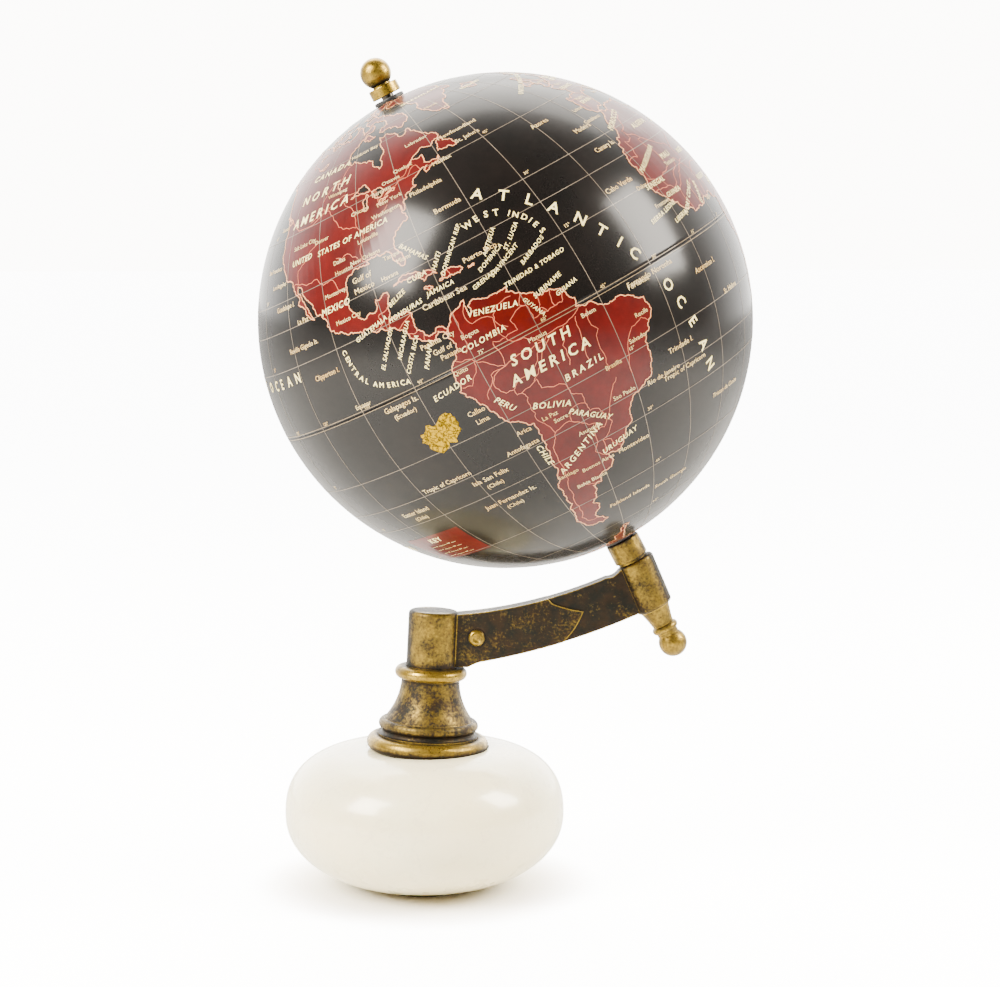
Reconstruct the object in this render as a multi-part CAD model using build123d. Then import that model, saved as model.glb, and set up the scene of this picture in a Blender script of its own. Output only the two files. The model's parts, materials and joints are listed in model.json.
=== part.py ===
from build123d import *
import math
import os

# Desktop globe on a stand. Millimetres, +Z up.
# The origin is on the table, under the centre of the stone base.
# The arm points along +X, and the plane Y = 0 is the plane of symmetry.

# Stone base and the felt under it
stone_radius = 36.5
stone_top = 36.3
stone_waist = 19.2
stone_top_flat = 15.0
stone_bottom_flat = 6.0
stone_top_squareness = 2.4
stone_bottom_squareness = 2.15
outline_points = 9
felt_thickness = 0.9
felt_inset = 1.6

# Stem: everything that stands on the stone leans a little towards the arm
stem_lean = 2.9
seat_offset = 0.7
seat_bite = 0.1
seat_clearance = 0.2
tie_rod_radius = 3.0
tie_rod_hole_clearance = 0.5
threaded_clearance = 0.02
running_clearance = 0.05

# Nut recess under the stone
stone_grip = 24.5
recess_radius = 10.5
washer_radius = 9.0
washer_thickness = 1.2
nut_across_flats = 10.0
nut_height = 5.0
rod_end_past_nut = 1.2

# Foot flange, bell and collar, from the stone upwards
flange_radius = 15.9
flange_height = 4.1
bell_base_radius = 13.2
bell_base_height = 0.4
cove_radius = 12.05
cove_lip_radius = 12.3
cove_height = 1.3
shoulder_radius = 13.0
shoulder_crown_rise = 1.0
shoulder_end_radius = 11.6
shoulder_height = 2.6
flare_middle_radius = 9.3
flare_middle_rise = 3.6
bell_height = 15.1
neck_radius = 7.55
collar_radius = 9.4
collar_height = 3.2
edge_round = 0.4

# Arm: sleeve at the stem, web, and boss that holds the globe's rod
sleeve_radius = 6.55
sleeve_height = 14.75
sleeve_edge = 1.0
sleeve_bore_depth = 11.0
sleeve_bore_relief = 1.0
arm_reach = 50.6
arm_rise_above_sleeve = 29.9
web_thickness = 4.7
web_drop = 1.05
web_lift = 0.5
web_toe = 2.9
web_toe_length = 5.8
web_toe_rise = 1.95
web_toe_middle_length = 3.5
web_toe_middle_rise = 0.87
web_sag_top = 2.3
web_sag_bottom = 1.4
web_corner = 3.2
web_corner_drop = 2.0
web_corner_middle = 1.07
web_corner_middle_drop = 1.24
boss_radius = 4.9
boss_length = 13.8
boss_edge = 0.9
boss_cast_tilt = 23.2
boss_cast_offset = 0.65

# Cheek plates riveted on both sides of the web
cheek_thickness = 0.45
cheek_length = 38.8
cheek_slant = 7.2
cheek_bulge = 0.9
cheek_shoulder = 8.2
cheek_shoulder_share = 0.87
cheek_notch = 2.1
cheek_overrun_share = 0.1
rivet_reach = 11.35
rivet_radius = 1.3
rivet_head_radius = 2.2
rivet_head_height = 1.0
rivet_head_round = 0.3
rivet_dimple_radius = 1.15
rivet_dimple_depth = 0.3

# Globe rod and what is threaded on it
axis_tilt = 27.6
axis_rod_radius = 1.6
ferrule_radius = 4.5
ferrule_length = 6.2
ferrule_neck_radius = 3.9
ferrule_neck_height = 0.6
ferrule_looseness = 0.65
ferrule_bore_radius = axis_rod_radius + ferrule_looseness
ferrule_shift = ferrule_looseness - running_clearance
finial_thread_depth = 6.0
finial_root_radius = 4.0
finial_flare_radius = 3.15
finial_flare_drop = 3.2
finial_waist_radius = 2.8
finial_waist_drop = 5.0
finial_bead_radius = 3.5
finial_bead_height = 1.9
finial_groove_radius = 2.8
lower_ball_radius = 3.7
lower_ball_drop = 10.45
upper_collar_radius = 3.87
upper_collar_height = 2.65
upper_ball_radius = 3.95
upper_ball_rise = 3.55
upper_neck_radius = 2.4
upper_thread_depth = 3.4
thread_end_gap = 0.5

# Globe shells and bushes
globe_radius = 63.5
shell_wall = 1.6
pole_hole_radius = 3.0
band_width = 14.0
band_wall = 1.2
glue_gap = 0.02
bush_flange_radius = 4.0
bush_flange_height = 0.9
bush_length = 7.0
spin_gap = 0.05
north_gap = 0.7

# Heights worked out from the sizes above
foot_share = 1 - (1 - felt_thickness / stone_waist) ** stone_bottom_squareness
foot_spread = foot_share ** (1 / stone_bottom_squareness)
stone_foot_radius = stone_bottom_flat + (stone_radius - stone_bottom_flat) * foot_spread
seat_tilt_drop = flange_radius * math.sin(math.radians(stem_lean))
seat_height = stone_top - seat_tilt_drop - seat_bite
bell_bottom = flange_height
collar_bottom = bell_bottom + bell_height
sleeve_bottom = collar_bottom + collar_height
sleeve_top = sleeve_bottom + sleeve_height
bore_tilt = axis_tilt + stem_lean
boss_lean = boss_cast_tilt + stem_lean
boss_rise = sleeve_bottom + arm_rise_above_sleeve
threaded_hole_radius = axis_rod_radius + threaded_clearance

# Places along the globe's axis, from the top face of the boss
pole_height = math.sqrt(globe_radius ** 2 - pole_hole_radius ** 2) + glue_gap
globe_rise = ferrule_length + spin_gap + bush_flange_height + pole_height
north_flange_top = globe_rise + pole_height + bush_flange_height
upper_collar_bottom = north_flange_top + north_gap
upper_collar_top = upper_collar_bottom + upper_collar_height

# Frames: the stem stands on its seat in the stone, and the globe's axis on the arm's boss
stem_frame = Location((seat_offset, 0, seat_height), (0, stem_lean, 0))
bore_frame = Location((arm_reach, 0, boss_rise), (0, -bore_tilt, 0))
boss_frame = stem_frame * bore_frame
globe_frame = boss_frame * Location((0, 0, globe_rise))


def turned(*curves):
    """Solid turned about Z from the curves of one closed outline of radius and height."""
    outline = make_face(Curve() + list(curves))
    return revolve(Plane.XZ * outline, Axis.Z)


def round_rim_disc(radius, height, bore_radius):
    """Flat disc with a bore and a fully rounded rim, standing on Z = 0."""
    half = height / 2
    rim = ThreePointArc((radius - half, 0), (radius, half), (radius - half, height))
    inside = Polyline((radius - half, height), (bore_radius, height), (bore_radius, 0), (radius - half, 0))
    return turned(rim, inside)


def tube(outer_radius, bore_radius, bottom, top):
    """Plain tube between two heights."""
    middle = (bottom + top) / 2
    body = Cylinder(outer_radius, top - bottom) - Cylinder(bore_radius, top - bottom)
    return Pos(0, 0, middle) * body


def rod(radius, bottom, top):
    """Plain rod between two heights."""
    return Pos(0, 0, (bottom + top) / 2) * Cylinder(radius, top - bottom)


def squared_quarter(inner, outer, rise, squareness):
    """Points of a squared quarter oval, from its widest point up to its flat top."""
    points = []
    power = 2 / squareness
    for index in range(outline_points):
        turn = math.radians(90 * index / (outline_points - 1))
        across = inner + (outer - inner) * abs(math.cos(turn)) ** power
        points.append((across, rise * math.sin(turn) ** power))
    points[-1] = (inner, rise)
    return points


def stone_outline():
    """Curves of the whole pebble's half section, before its foot is ground flat."""
    over = squared_quarter(stone_top_flat, stone_radius, stone_top - stone_waist, stone_top_squareness)
    under = squared_quarter(stone_bottom_flat, stone_radius, stone_waist, stone_bottom_squareness)
    over = [(across, stone_waist + rise) for across, rise in over]
    under = [(across, stone_waist - rise) for across, rise in under]
    over_curve = Spline(*over, tangents=[(0, 1), (-1, 0)])
    under_curve = Spline(*under, tangents=[(0, -1), (-1, 0)])
    rest = Polyline(over[-1], (0, stone_top), (0, 0), under[-1])
    return over_curve, under_curve, rest


def base_stone():
    """Polished pebble, its foot ground flat, with a leaning seat, a bore and a nut recess."""
    pebble = turned(*stone_outline()) - rod(stone_radius, 0, felt_thickness)
    seat = rod(flange_radius + seat_clearance, 0, stone_top)
    bore = rod(tie_rod_radius + tie_rod_hole_clearance, -stone_grip, 0)
    recess = rod(recess_radius, -2 * stone_top, -stone_grip)
    return pebble - stem_frame * (seat + bore + recess)


def base_felt():
    """Felt disc glued under the stone."""
    return rod(stone_foot_radius - felt_inset, 0, felt_thickness)


def base_washer():
    """Washer under the stone, in the recess."""
    return stem_frame * tube(
        washer_radius, tie_rod_radius + threaded_clearance, -stone_grip - washer_thickness, -stone_grip
    )


def base_nut():
    """Hexagon nut that pulls the tie rod down."""
    top = -stone_grip - washer_thickness
    hexagon = RegularPolygon(nut_across_flats / 2, 6, major_radius=False)
    body = Pos(0, 0, top - nut_height) * extrude(hexagon, nut_height)
    hole = rod(tie_rod_radius + threaded_clearance, top - nut_height, top)
    return stem_frame * (body - hole)


def tie_rod():
    """Threaded rod through stone, flange, bell and collar into the sleeve of the arm."""
    bottom = -stone_grip - washer_thickness - nut_height - rod_end_past_nut
    top = sleeve_bottom + sleeve_bore_depth
    return stem_frame * rod(tie_rod_radius, bottom, top)


def foot_ring():
    """Round-edged flange that sits on the stone."""
    return stem_frame * round_rim_disc(flange_radius, flange_height, tie_rod_radius + threaded_clearance)


def pedestal_bell():
    """Cast bell: a short base, a cove, a rounded shoulder and a trumpet up to the neck."""
    cove_bottom = bell_bottom + bell_base_height
    cove_top = cove_bottom + cove_height
    shoulder_top = cove_top + shoulder_height
    hole = tie_rod_radius + threaded_clearance
    base = Line((bell_base_radius, bell_bottom), (bell_base_radius, cove_bottom))
    cove = ThreePointArc(
        (bell_base_radius, cove_bottom),
        (cove_radius, (cove_bottom + cove_top) / 2),
        (cove_lip_radius, cove_top),
    )
    shoulder = ThreePointArc(
        (cove_lip_radius, cove_top),
        (shoulder_radius, cove_top + shoulder_crown_rise),
        (shoulder_end_radius, shoulder_top),
    )
    flare = ThreePointArc(
        (shoulder_end_radius, shoulder_top),
        (flare_middle_radius, shoulder_top + flare_middle_rise),
        (neck_radius, collar_bottom),
    )
    neck = Polyline((neck_radius, collar_bottom), (hole, collar_bottom), (hole, bell_bottom))
    underside = Line((hole, bell_bottom), (bell_base_radius, bell_bottom))
    return stem_frame * turned(base, cove, shoulder, flare, neck, underside)


def neck_collar():
    """Round-edged collar that the arm's sleeve turns on."""
    ring = round_rim_disc(collar_radius, collar_height, tie_rod_radius + threaded_clearance)
    return stem_frame * Pos(0, 0, collar_bottom) * ring


def turned_point(start, out, up, lean):
    """Point across and along a line that leans back by an angle, from a point on that line."""
    angle = math.radians(lean)
    across = start[0] + out * math.cos(angle) - up * math.sin(angle)
    rise = start[1] + out * math.sin(angle) + up * math.cos(angle)
    return across, rise


def boss_middle():
    """Middle of the cast boss in the stem's frame, a little outside the hole drilled through it."""
    return turned_point((arm_reach, boss_rise), boss_cast_offset, -boss_length / 2, bore_tilt)


def from_boss(out, up):
    """Reach and rise, in the stem's frame, of a point across and along the cast boss from its top."""
    return turned_point(boss_middle(), out, up + boss_length / 2, boss_lean)


def sagging_arc(start, end, sag):
    """Arc from start to end whose middle hangs below the chord by the sag."""
    middle = ((start[0] + end[0]) / 2, (start[1] + end[1]) / 2 - sag)
    return ThreePointArc(start, middle, end)


def hanging_height(start, end, sag, reach):
    """Height at a reach of the shallow curve that hangs between two points."""
    share = (reach - start[0]) / (end[0] - start[0])
    chord = start[1] + share * (end[1] - start[1])
    return chord - 4 * sag * share * (1 - share)


def web_ends():
    """Ends of the web's top and bottom curves: two on top, then two on the bottom."""
    corner = from_boss(-boss_radius, -boss_edge)
    top_start = (0, sleeve_top - web_drop)
    top_end = (corner[0] - web_corner, corner[1] - web_corner_drop)
    toe_end = (sleeve_radius + web_toe_length, sleeve_bottom + web_toe_rise)
    heel = from_boss(-boss_radius, boss_edge / 2 - boss_length)
    return top_start, top_end, toe_end, heel


def web_middle(reach, share):
    """Height at a reach, at a share of the way from the web's bottom curve to its top curve."""
    top_start, top_end, toe_end, heel = web_ends()
    top = hanging_height(top_start, top_end, web_sag_top, reach)
    bottom = hanging_height(toe_end, heel, web_sag_bottom, reach)
    return bottom + share * (top - bottom)


def web_outline():
    """Side outline of the arm's web, from the middle of the sleeve to inside the boss."""
    top_start, top_end, toe_end, heel = web_ends()
    corner = from_boss(-boss_radius, -boss_edge)
    corner_middle = (corner[0] - web_corner_middle, corner[1] - web_corner_middle_drop)
    toe = (sleeve_radius + web_toe, sleeve_bottom + web_lift)
    toe_middle = (sleeve_radius + web_toe_middle_length, sleeve_bottom + web_toe_middle_rise)
    top = sagging_arc(top_start, top_end, web_sag_top)
    corner_arc = ThreePointArc(top_end, corner_middle, corner)
    inner_top = from_boss(-boss_radius / 2, -boss_edge)
    inner_bottom = from_boss(-boss_radius / 2, boss_edge / 2 - boss_length)
    inside_boss = Polyline(corner, inner_top, inner_bottom, heel)
    bottom = sagging_arc(toe_end, heel, web_sag_bottom)
    toe_arc = ThreePointArc(toe_end, toe_middle, toe)
    inside_sleeve = Polyline(toe, (0, sleeve_bottom + web_lift), top_start)
    return make_face(Curve() + [top, corner_arc, inside_boss, bottom, toe_arc, inside_sleeve])


def plate(outline, near, far):
    """Plate between two distances in front of the plane of symmetry, from a side outline."""
    return Pos(0, -near, 0) * extrude(Plane.XZ * outline, far - near)


def arm_sleeve():
    """Upright sleeve with a rounded top edge."""
    shoulder = sleeve_top - sleeve_edge
    side = Polyline((0, sleeve_bottom), (sleeve_radius, sleeve_bottom), (sleeve_radius, shoulder))
    slant = sleeve_edge * (1 - math.sqrt(0.5))
    rim_middle = (sleeve_radius - slant, sleeve_top - slant)
    rim = ThreePointArc((sleeve_radius, shoulder), rim_middle, (sleeve_radius - sleeve_edge, sleeve_top))
    top = Polyline((sleeve_radius - sleeve_edge, sleeve_top), (0, sleeve_top), (0, sleeve_bottom))
    return turned(side, rim, top)


def arm_boss():
    """Boss in the stem's frame, faced square to its hole at both ends, with rounded edges."""
    reach, rise = boss_middle()
    bar = Location((reach, 0, rise), (0, -boss_lean, 0)) * Cylinder(boss_radius, 2 * boss_length)
    faced = bar & (bore_frame * rod(2 * boss_radius, -boss_length, 0))
    end_faces = faced.faces().filter_by(GeomType.PLANE)
    return fillet(end_faces.edges(), boss_edge)


def rivet_frame():
    """Place of the rivet in the stem's frame, its length across the web."""
    return Location((rivet_reach, 0, web_middle(rivet_reach, 0.5)), (90, 0, 0))


def rivet_hole():
    """Hole for the rivet through the web and both cheek plates."""
    half = web_thickness / 2 + cheek_thickness
    return rivet_frame() * rod(rivet_radius + threaded_clearance, -half, half)


def arm_casting():
    """Cast arm: sleeve, web and boss in one piece, bored for the tie rod and the globe's rod."""
    web = plate(web_outline(), -web_thickness / 2, web_thickness / 2)
    body = arm_sleeve() + web + arm_boss()
    bore_top = sleeve_bottom + sleeve_bore_depth + sleeve_bore_relief
    swivel_bore = rod(tie_rod_radius + running_clearance, sleeve_bottom, bore_top)
    rod_bore = bore_frame * rod(threaded_hole_radius, -boss_length, 0)
    return stem_frame * (body - swivel_bore - rod_bore - rivet_hole())


def cheek_outline():
    """Side outline of the pointed strap before it is cut to the web: an arrow with a notched upper edge."""
    tip = (cheek_length, web_middle(cheek_length, 0.5))
    low = (cheek_length - cheek_slant, web_middle(cheek_length - cheek_slant, -cheek_overrun_share))
    low_middle = ((tip[0] + low[0]) / 2 + cheek_bulge, (tip[1] + low[1]) / 2 - cheek_bulge / 2)
    shoulder_reach = cheek_length - cheek_shoulder
    shoulder = (shoulder_reach, web_middle(shoulder_reach, cheek_shoulder_share))
    upper_middle = ((tip[0] + shoulder[0]) / 2, (tip[1] + shoulder[1]) / 2 - cheek_bulge / 3)
    notch_reach = shoulder_reach - cheek_notch
    notch = (notch_reach, web_middle(notch_reach, 1 + cheek_overrun_share))
    lower = ThreePointArc(low, low_middle, tip)
    upper = ThreePointArc(tip, upper_middle, shoulder)
    rest = Polyline(shoulder, notch, (0, notch[1]), (0, sleeve_bottom - sleeve_radius), (low[0], low[1]))
    return make_face(Curve() + [lower, upper, rest])


def arm_cheek(near, far):
    """Pointed cheek plate on one side of the web, cut to the web's edges and to the sleeve."""
    strap = plate(cheek_outline() & web_outline(), near, far)
    sleeve_room = rod(sleeve_radius + glue_gap, sleeve_bottom, sleeve_top)
    return stem_frame * (strap - sleeve_room - rivet_hole())


def arm_rivet():
    """Rivet through cheeks and web, with a dimpled round head on each side."""
    half = web_thickness / 2 + cheek_thickness
    crown = half + rivet_head_height
    dimple = Polyline((0, crown - rivet_dimple_depth), (rivet_dimple_radius / 2, crown - rivet_dimple_depth))
    dimple_side = Line((rivet_dimple_radius / 2, crown - rivet_dimple_depth), (rivet_dimple_radius, crown))
    round_middle = (rivet_head_radius - rivet_head_round, crown - rivet_head_round)
    crown_round = ThreePointArc((rivet_dimple_radius, crown), round_middle, (rivet_head_radius, half))
    shank = Polyline((rivet_head_radius, half), (rivet_radius, half), (rivet_radius, 0), (0, 0), dimple @ 0)
    one_half = turned(dimple, dimple_side, crown_round, shank)
    return stem_frame * rivet_frame() * (one_half + mirror(one_half, Plane.XY))


def axis_rod():
    """Rod that the globe spins on, from the lower finial to the upper one."""
    bottom = -boss_length - finial_thread_depth
    top = upper_collar_top + upper_thread_depth
    return boss_frame * rod(axis_rod_radius, bottom, top)


def lower_ferrule():
    """Spacer between boss and globe, with a narrower neck and a loose bore that lets it sit to one side."""
    body = rod(ferrule_radius, ferrule_neck_height, ferrule_length)
    body = fillet(body.edges().filter_by(GeomType.CIRCLE), edge_round)
    body = rod(ferrule_neck_radius, 0, ferrule_neck_height) + body
    return boss_frame * Pos(ferrule_shift, 0, 0) * (body - rod(ferrule_bore_radius, 0, ferrule_length))


def lower_finial():
    """Turned knob under the boss: flared root, waist, bead and ball, with a blind hole."""
    waist = (finial_waist_radius, -finial_waist_drop)
    bead_bottom = -finial_waist_drop - finial_bead_height
    ball_bottom = -lower_ball_drop - lower_ball_radius
    neck_drop = lower_ball_drop - math.sqrt(lower_ball_radius ** 2 - finial_groove_radius ** 2)
    flare_middle = (finial_flare_radius, -finial_flare_drop)
    flare = ThreePointArc((finial_root_radius, 0), flare_middle, waist)
    bead_middle = (finial_bead_radius, (waist[1] + bead_bottom) / 2)
    bead = ThreePointArc(waist, bead_middle, (finial_groove_radius, bead_bottom))
    groove = Line((finial_groove_radius, bead_bottom), (finial_groove_radius, -neck_drop))
    ball_side = (lower_ball_radius, -lower_ball_drop)
    ball = ThreePointArc((finial_groove_radius, -neck_drop), ball_side, (0, ball_bottom))
    inside = Polyline((0, ball_bottom), (0, 0), (finial_root_radius, 0))
    body = turned(flare, bead, groove, ball, inside)
    hole = rod(threaded_hole_radius, -finial_thread_depth - thread_end_gap, 0)
    return boss_frame * Pos(0, 0, -boss_length) * (body - hole)


def upper_collar():
    """Plain collar on the rod above the globe."""
    body = rod(upper_collar_radius, upper_collar_bottom, upper_collar_top)
    body = fillet(body.edges().filter_by(GeomType.CIRCLE), edge_round / 2)
    return boss_frame * (body - rod(threaded_hole_radius, upper_collar_bottom, upper_collar_top))


def upper_finial():
    """Ball finial with a short neck, screwed on the end of the rod."""
    neck_rise = upper_ball_rise - math.sqrt(upper_ball_radius ** 2 - upper_neck_radius ** 2)
    ball_side = (upper_ball_radius, upper_ball_rise)
    ball_top = (0, upper_ball_rise + upper_ball_radius)
    neck = Line((upper_neck_radius, 0), (upper_neck_radius, neck_rise))
    ball = ThreePointArc((upper_neck_radius, neck_rise), ball_side, ball_top)
    body = turned(neck, ball, Polyline(ball_top, (0, 0), (upper_neck_radius, 0)))
    hole = rod(threaded_hole_radius, 0, upper_thread_depth + thread_end_gap)
    return boss_frame * Pos(0, 0, upper_collar_top) * (body - hole)


def northern_shell():
    """Half shell of the globe in the globe's frame, with its pole hole."""
    shell = Sphere(globe_radius) - Sphere(globe_radius - shell_wall)
    upper_half = rod(2 * globe_radius, 0, 2 * globe_radius)
    return (shell & upper_half) - rod(pole_hole_radius, 0, globe_radius)


def joint_band():
    """Hoop glued inside the equator, which holds the two shells together."""
    outer = Sphere(globe_radius - shell_wall - glue_gap)
    inner = Cylinder(globe_radius - shell_wall - glue_gap - band_wall, 2 * globe_radius)
    zone = Cylinder(globe_radius, band_width)
    return globe_frame * ((outer & zone) - inner)


def pole_bush():
    """Flanged bush pressed into the hole at a pole, in the globe's frame at the north pole."""
    flange = rod(bush_flange_radius, pole_height, pole_height + bush_flange_height)
    flange = fillet(flange.edges().group_by(Axis.Z)[-1], edge_round)
    plug = rod(pole_hole_radius - glue_gap, pole_height - bush_length, pole_height)
    top = pole_height + bush_flange_height
    return flange + plug - rod(axis_rod_radius + running_clearance, pole_height - bush_length, top)


nodes = {
    "base_felt": base_felt(),
    "base_stone": base_stone(),
    "base_washer": base_washer(),
    "base_nut": base_nut(),
    "tie_rod": tie_rod(),
    "foot_ring": foot_ring(),
    "pedestal_bell": pedestal_bell(),
    "neck_collar": neck_collar(),
    "arm_casting": arm_casting(),
    "arm_cheek_front": arm_cheek(web_thickness / 2, web_thickness / 2 + cheek_thickness),
    "arm_cheek_back": arm_cheek(-web_thickness / 2 - cheek_thickness, -web_thickness / 2),
    "arm_rivet": arm_rivet(),
    "axis_rod": axis_rod(),
    "lower_ferrule": lower_ferrule(),
    "lower_finial": lower_finial(),
    "upper_collar": upper_collar(),
    "upper_finial": upper_finial(),
    "north_hemisphere": globe_frame * northern_shell(),
    "south_hemisphere": globe_frame * mirror(northern_shell(), Plane.XY),
    "joint_band": joint_band(),
    "north_bush": globe_frame * pole_bush(),
    "south_bush": globe_frame * mirror(pole_bush(), Plane.XY),
}

os.makedirs("parts", exist_ok=True)
for node_name, solid in nodes.items():
    export_step(solid, "parts/" + node_name + ".step")
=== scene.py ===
import bmesh
import bpy
import json
import math
import random
from mathutils import Matrix, Vector
from mathutils.geometry import tessellate_polygon


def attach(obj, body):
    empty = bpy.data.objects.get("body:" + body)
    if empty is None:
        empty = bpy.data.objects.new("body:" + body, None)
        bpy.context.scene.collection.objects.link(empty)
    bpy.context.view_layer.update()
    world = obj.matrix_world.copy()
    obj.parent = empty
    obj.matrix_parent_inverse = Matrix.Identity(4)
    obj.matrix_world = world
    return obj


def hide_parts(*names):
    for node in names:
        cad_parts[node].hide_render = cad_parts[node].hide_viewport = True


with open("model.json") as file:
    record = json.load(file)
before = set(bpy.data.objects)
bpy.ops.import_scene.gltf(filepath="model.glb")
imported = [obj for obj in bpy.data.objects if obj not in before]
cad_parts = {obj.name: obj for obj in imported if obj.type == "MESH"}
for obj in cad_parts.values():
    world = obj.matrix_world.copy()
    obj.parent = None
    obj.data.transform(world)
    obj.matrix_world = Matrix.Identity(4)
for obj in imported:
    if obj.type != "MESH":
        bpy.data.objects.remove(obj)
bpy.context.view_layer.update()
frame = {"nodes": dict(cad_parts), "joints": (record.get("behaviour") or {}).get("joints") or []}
nodes = frame["nodes"]
joints = {joint["name"]: joint for joint in frame["joints"]}
MM = 0.001


# ---- Stone base ----
# A hand-polished pebble of creamy white marble, drilled for the tie rod.
# It stands on a felt disc glued into the ground foot.

def paint(code):
    """Linear colour from an sRGB hex code such as 'f2ece0'."""
    channels = [int(code[i:i + 2], 16) / 255 for i in (0, 2, 4)]
    linear = [c / 12.92 if c <= 0.04045 else ((c + 0.055) / 1.055) ** 2.4 for c in channels]
    return (*linear, 1.0)


def add(tree, kind, inputs=None, **settings):
    """Adds a node with its settings, then sets or links each input by name or number."""
    node = tree.nodes.new(kind)
    for key, value in settings.items():
        setattr(node, key, value)
    for key, value in (inputs or {}).items():
        if isinstance(value, bpy.types.NodeSocket):
            tree.links.new(value, node.inputs[key])
        else:
            node.inputs[key].default_value = value
    return node


def new_material(name, **surface):
    """Material with one Principled surface; returns it, its node tree and the surface node."""
    material = bpy.data.materials.new(name)
    material.use_nodes = True
    tree = material.node_tree
    shader = tree.nodes["Principled BSDF"]
    for key, value in surface.items():
        shader.inputs[key.replace("_", " ")].default_value = value
    return material, tree, shader


def drive(shader, **sources):
    """Links each source socket to the surface input of that name."""
    for key, source in sources.items():
        shader.id_data.links.new(source, shader.inputs[key.replace("_", " ")])


def place_object(name, data):
    """New object with its data, in the scene."""
    placed = bpy.data.objects.new(name, data)
    bpy.context.scene.collection.objects.link(placed)
    return placed


def noise(tree, size, detail=3.0, roughness=0.55, vector=None):
    """Noise whose blobs are about size metres across, on the object's own coordinates."""
    place = vector or add(tree, "ShaderNodeTexCoord").outputs["Object"]
    settings = {"Vector": place, "Scale": 1 / size, "Detail": detail, "Roughness": roughness}
    return add(tree, "ShaderNodeTexNoise", settings).outputs["Fac"]


def remap(tree, value, low, high, to_low=0.0, to_high=1.0):
    """Value spread from one range to another, with both ends held."""
    settings = {"Value": value, "From Min": low, "From Max": high, "To Min": to_low, "To Max": to_high}
    return add(tree, "ShaderNodeMapRange", settings).outputs["Result"]


def blend(tree, share, first, second):
    """Colour between two colours or colour sockets."""
    return add(tree, "ShaderNodeMix", {0: share, 6: first, 7: second}, data_type="RGBA").outputs[2]


def maths(tree, operation, first, second=0.5):
    """One arithmetic step on values or value sockets."""
    return add(tree, "ShaderNodeMath", {0: first, 1: second}, operation=operation).outputs[0]


def bump(tree, shader, height, distance, strength=1.0):
    """Relief of a real depth in metres."""
    settings = {"Height": height, "Distance": distance, "Strength": strength}
    drive(shader, Normal=add(tree, "ShaderNodeBump", settings).outputs["Normal"])


def polished_marble():
    """Cream marble: faint clouds 25 mm wide, thin grey veins and a soft hand polish."""
    material, tree, shader = new_material("polished_marble", IOR=1.5, Subsurface_Weight=0.15,
                                          Subsurface_Radius=(1.0, 0.8, 0.6), Subsurface_Scale=4 * MM,
                                          Coat_Weight=0.7, Coat_Roughness=0.14)
    cloud = noise(tree, 25 * MM, 4)
    colour = blend(tree, remap(tree, cloud, 0.35, 0.7), paint("fff4cc"), paint("ffefc0"))
    vein = maths(tree, "ABSOLUTE", maths(tree, "SUBTRACT", noise(tree, 30 * MM, 6, 0.65)))
    colour = blend(tree, remap(tree, vein, 0.0, 0.012, 0.16, 0.0), colour, paint("b9ab96"))
    gloss = remap(tree, noise(tree, 6 * MM), 0.3, 0.7, 0.24, 0.34)
    drive(shader, Base_Color=colour, Roughness=gloss)
    bump(tree, shader, noise(tree, 9 * MM, 2), 0.05 * MM, 0.4)
    return material


def green_felt():
    """Pressed wool felt with a tangle of fibres about 0.4 mm across."""
    material, tree, shader = new_material("pressed_felt", Roughness=0.95, Sheen_Weight=0.4)
    fibres = noise(tree, 0.4 * MM, 5, 0.7)
    drive(shader, Base_Color=blend(tree, fibres, paint("20241f"), paint("3a4038")))
    bump(tree, shader, fibres, 0.2 * MM)
    return material


def finish_node(name, material):
    """Gives a CAD piece its material."""
    mesh = nodes[name].data
    mesh.materials.clear()
    mesh.materials.append(material)


finish_node("base_stone", polished_marble())
finish_node("base_felt", green_felt())


# ---- Pedestal ----
# Foot flange, trumpet bell and neck collar, cast in brass and turned on the rounds.
# The casting is darkened all over, then rubbed bright wherever it stands proud.

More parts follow.
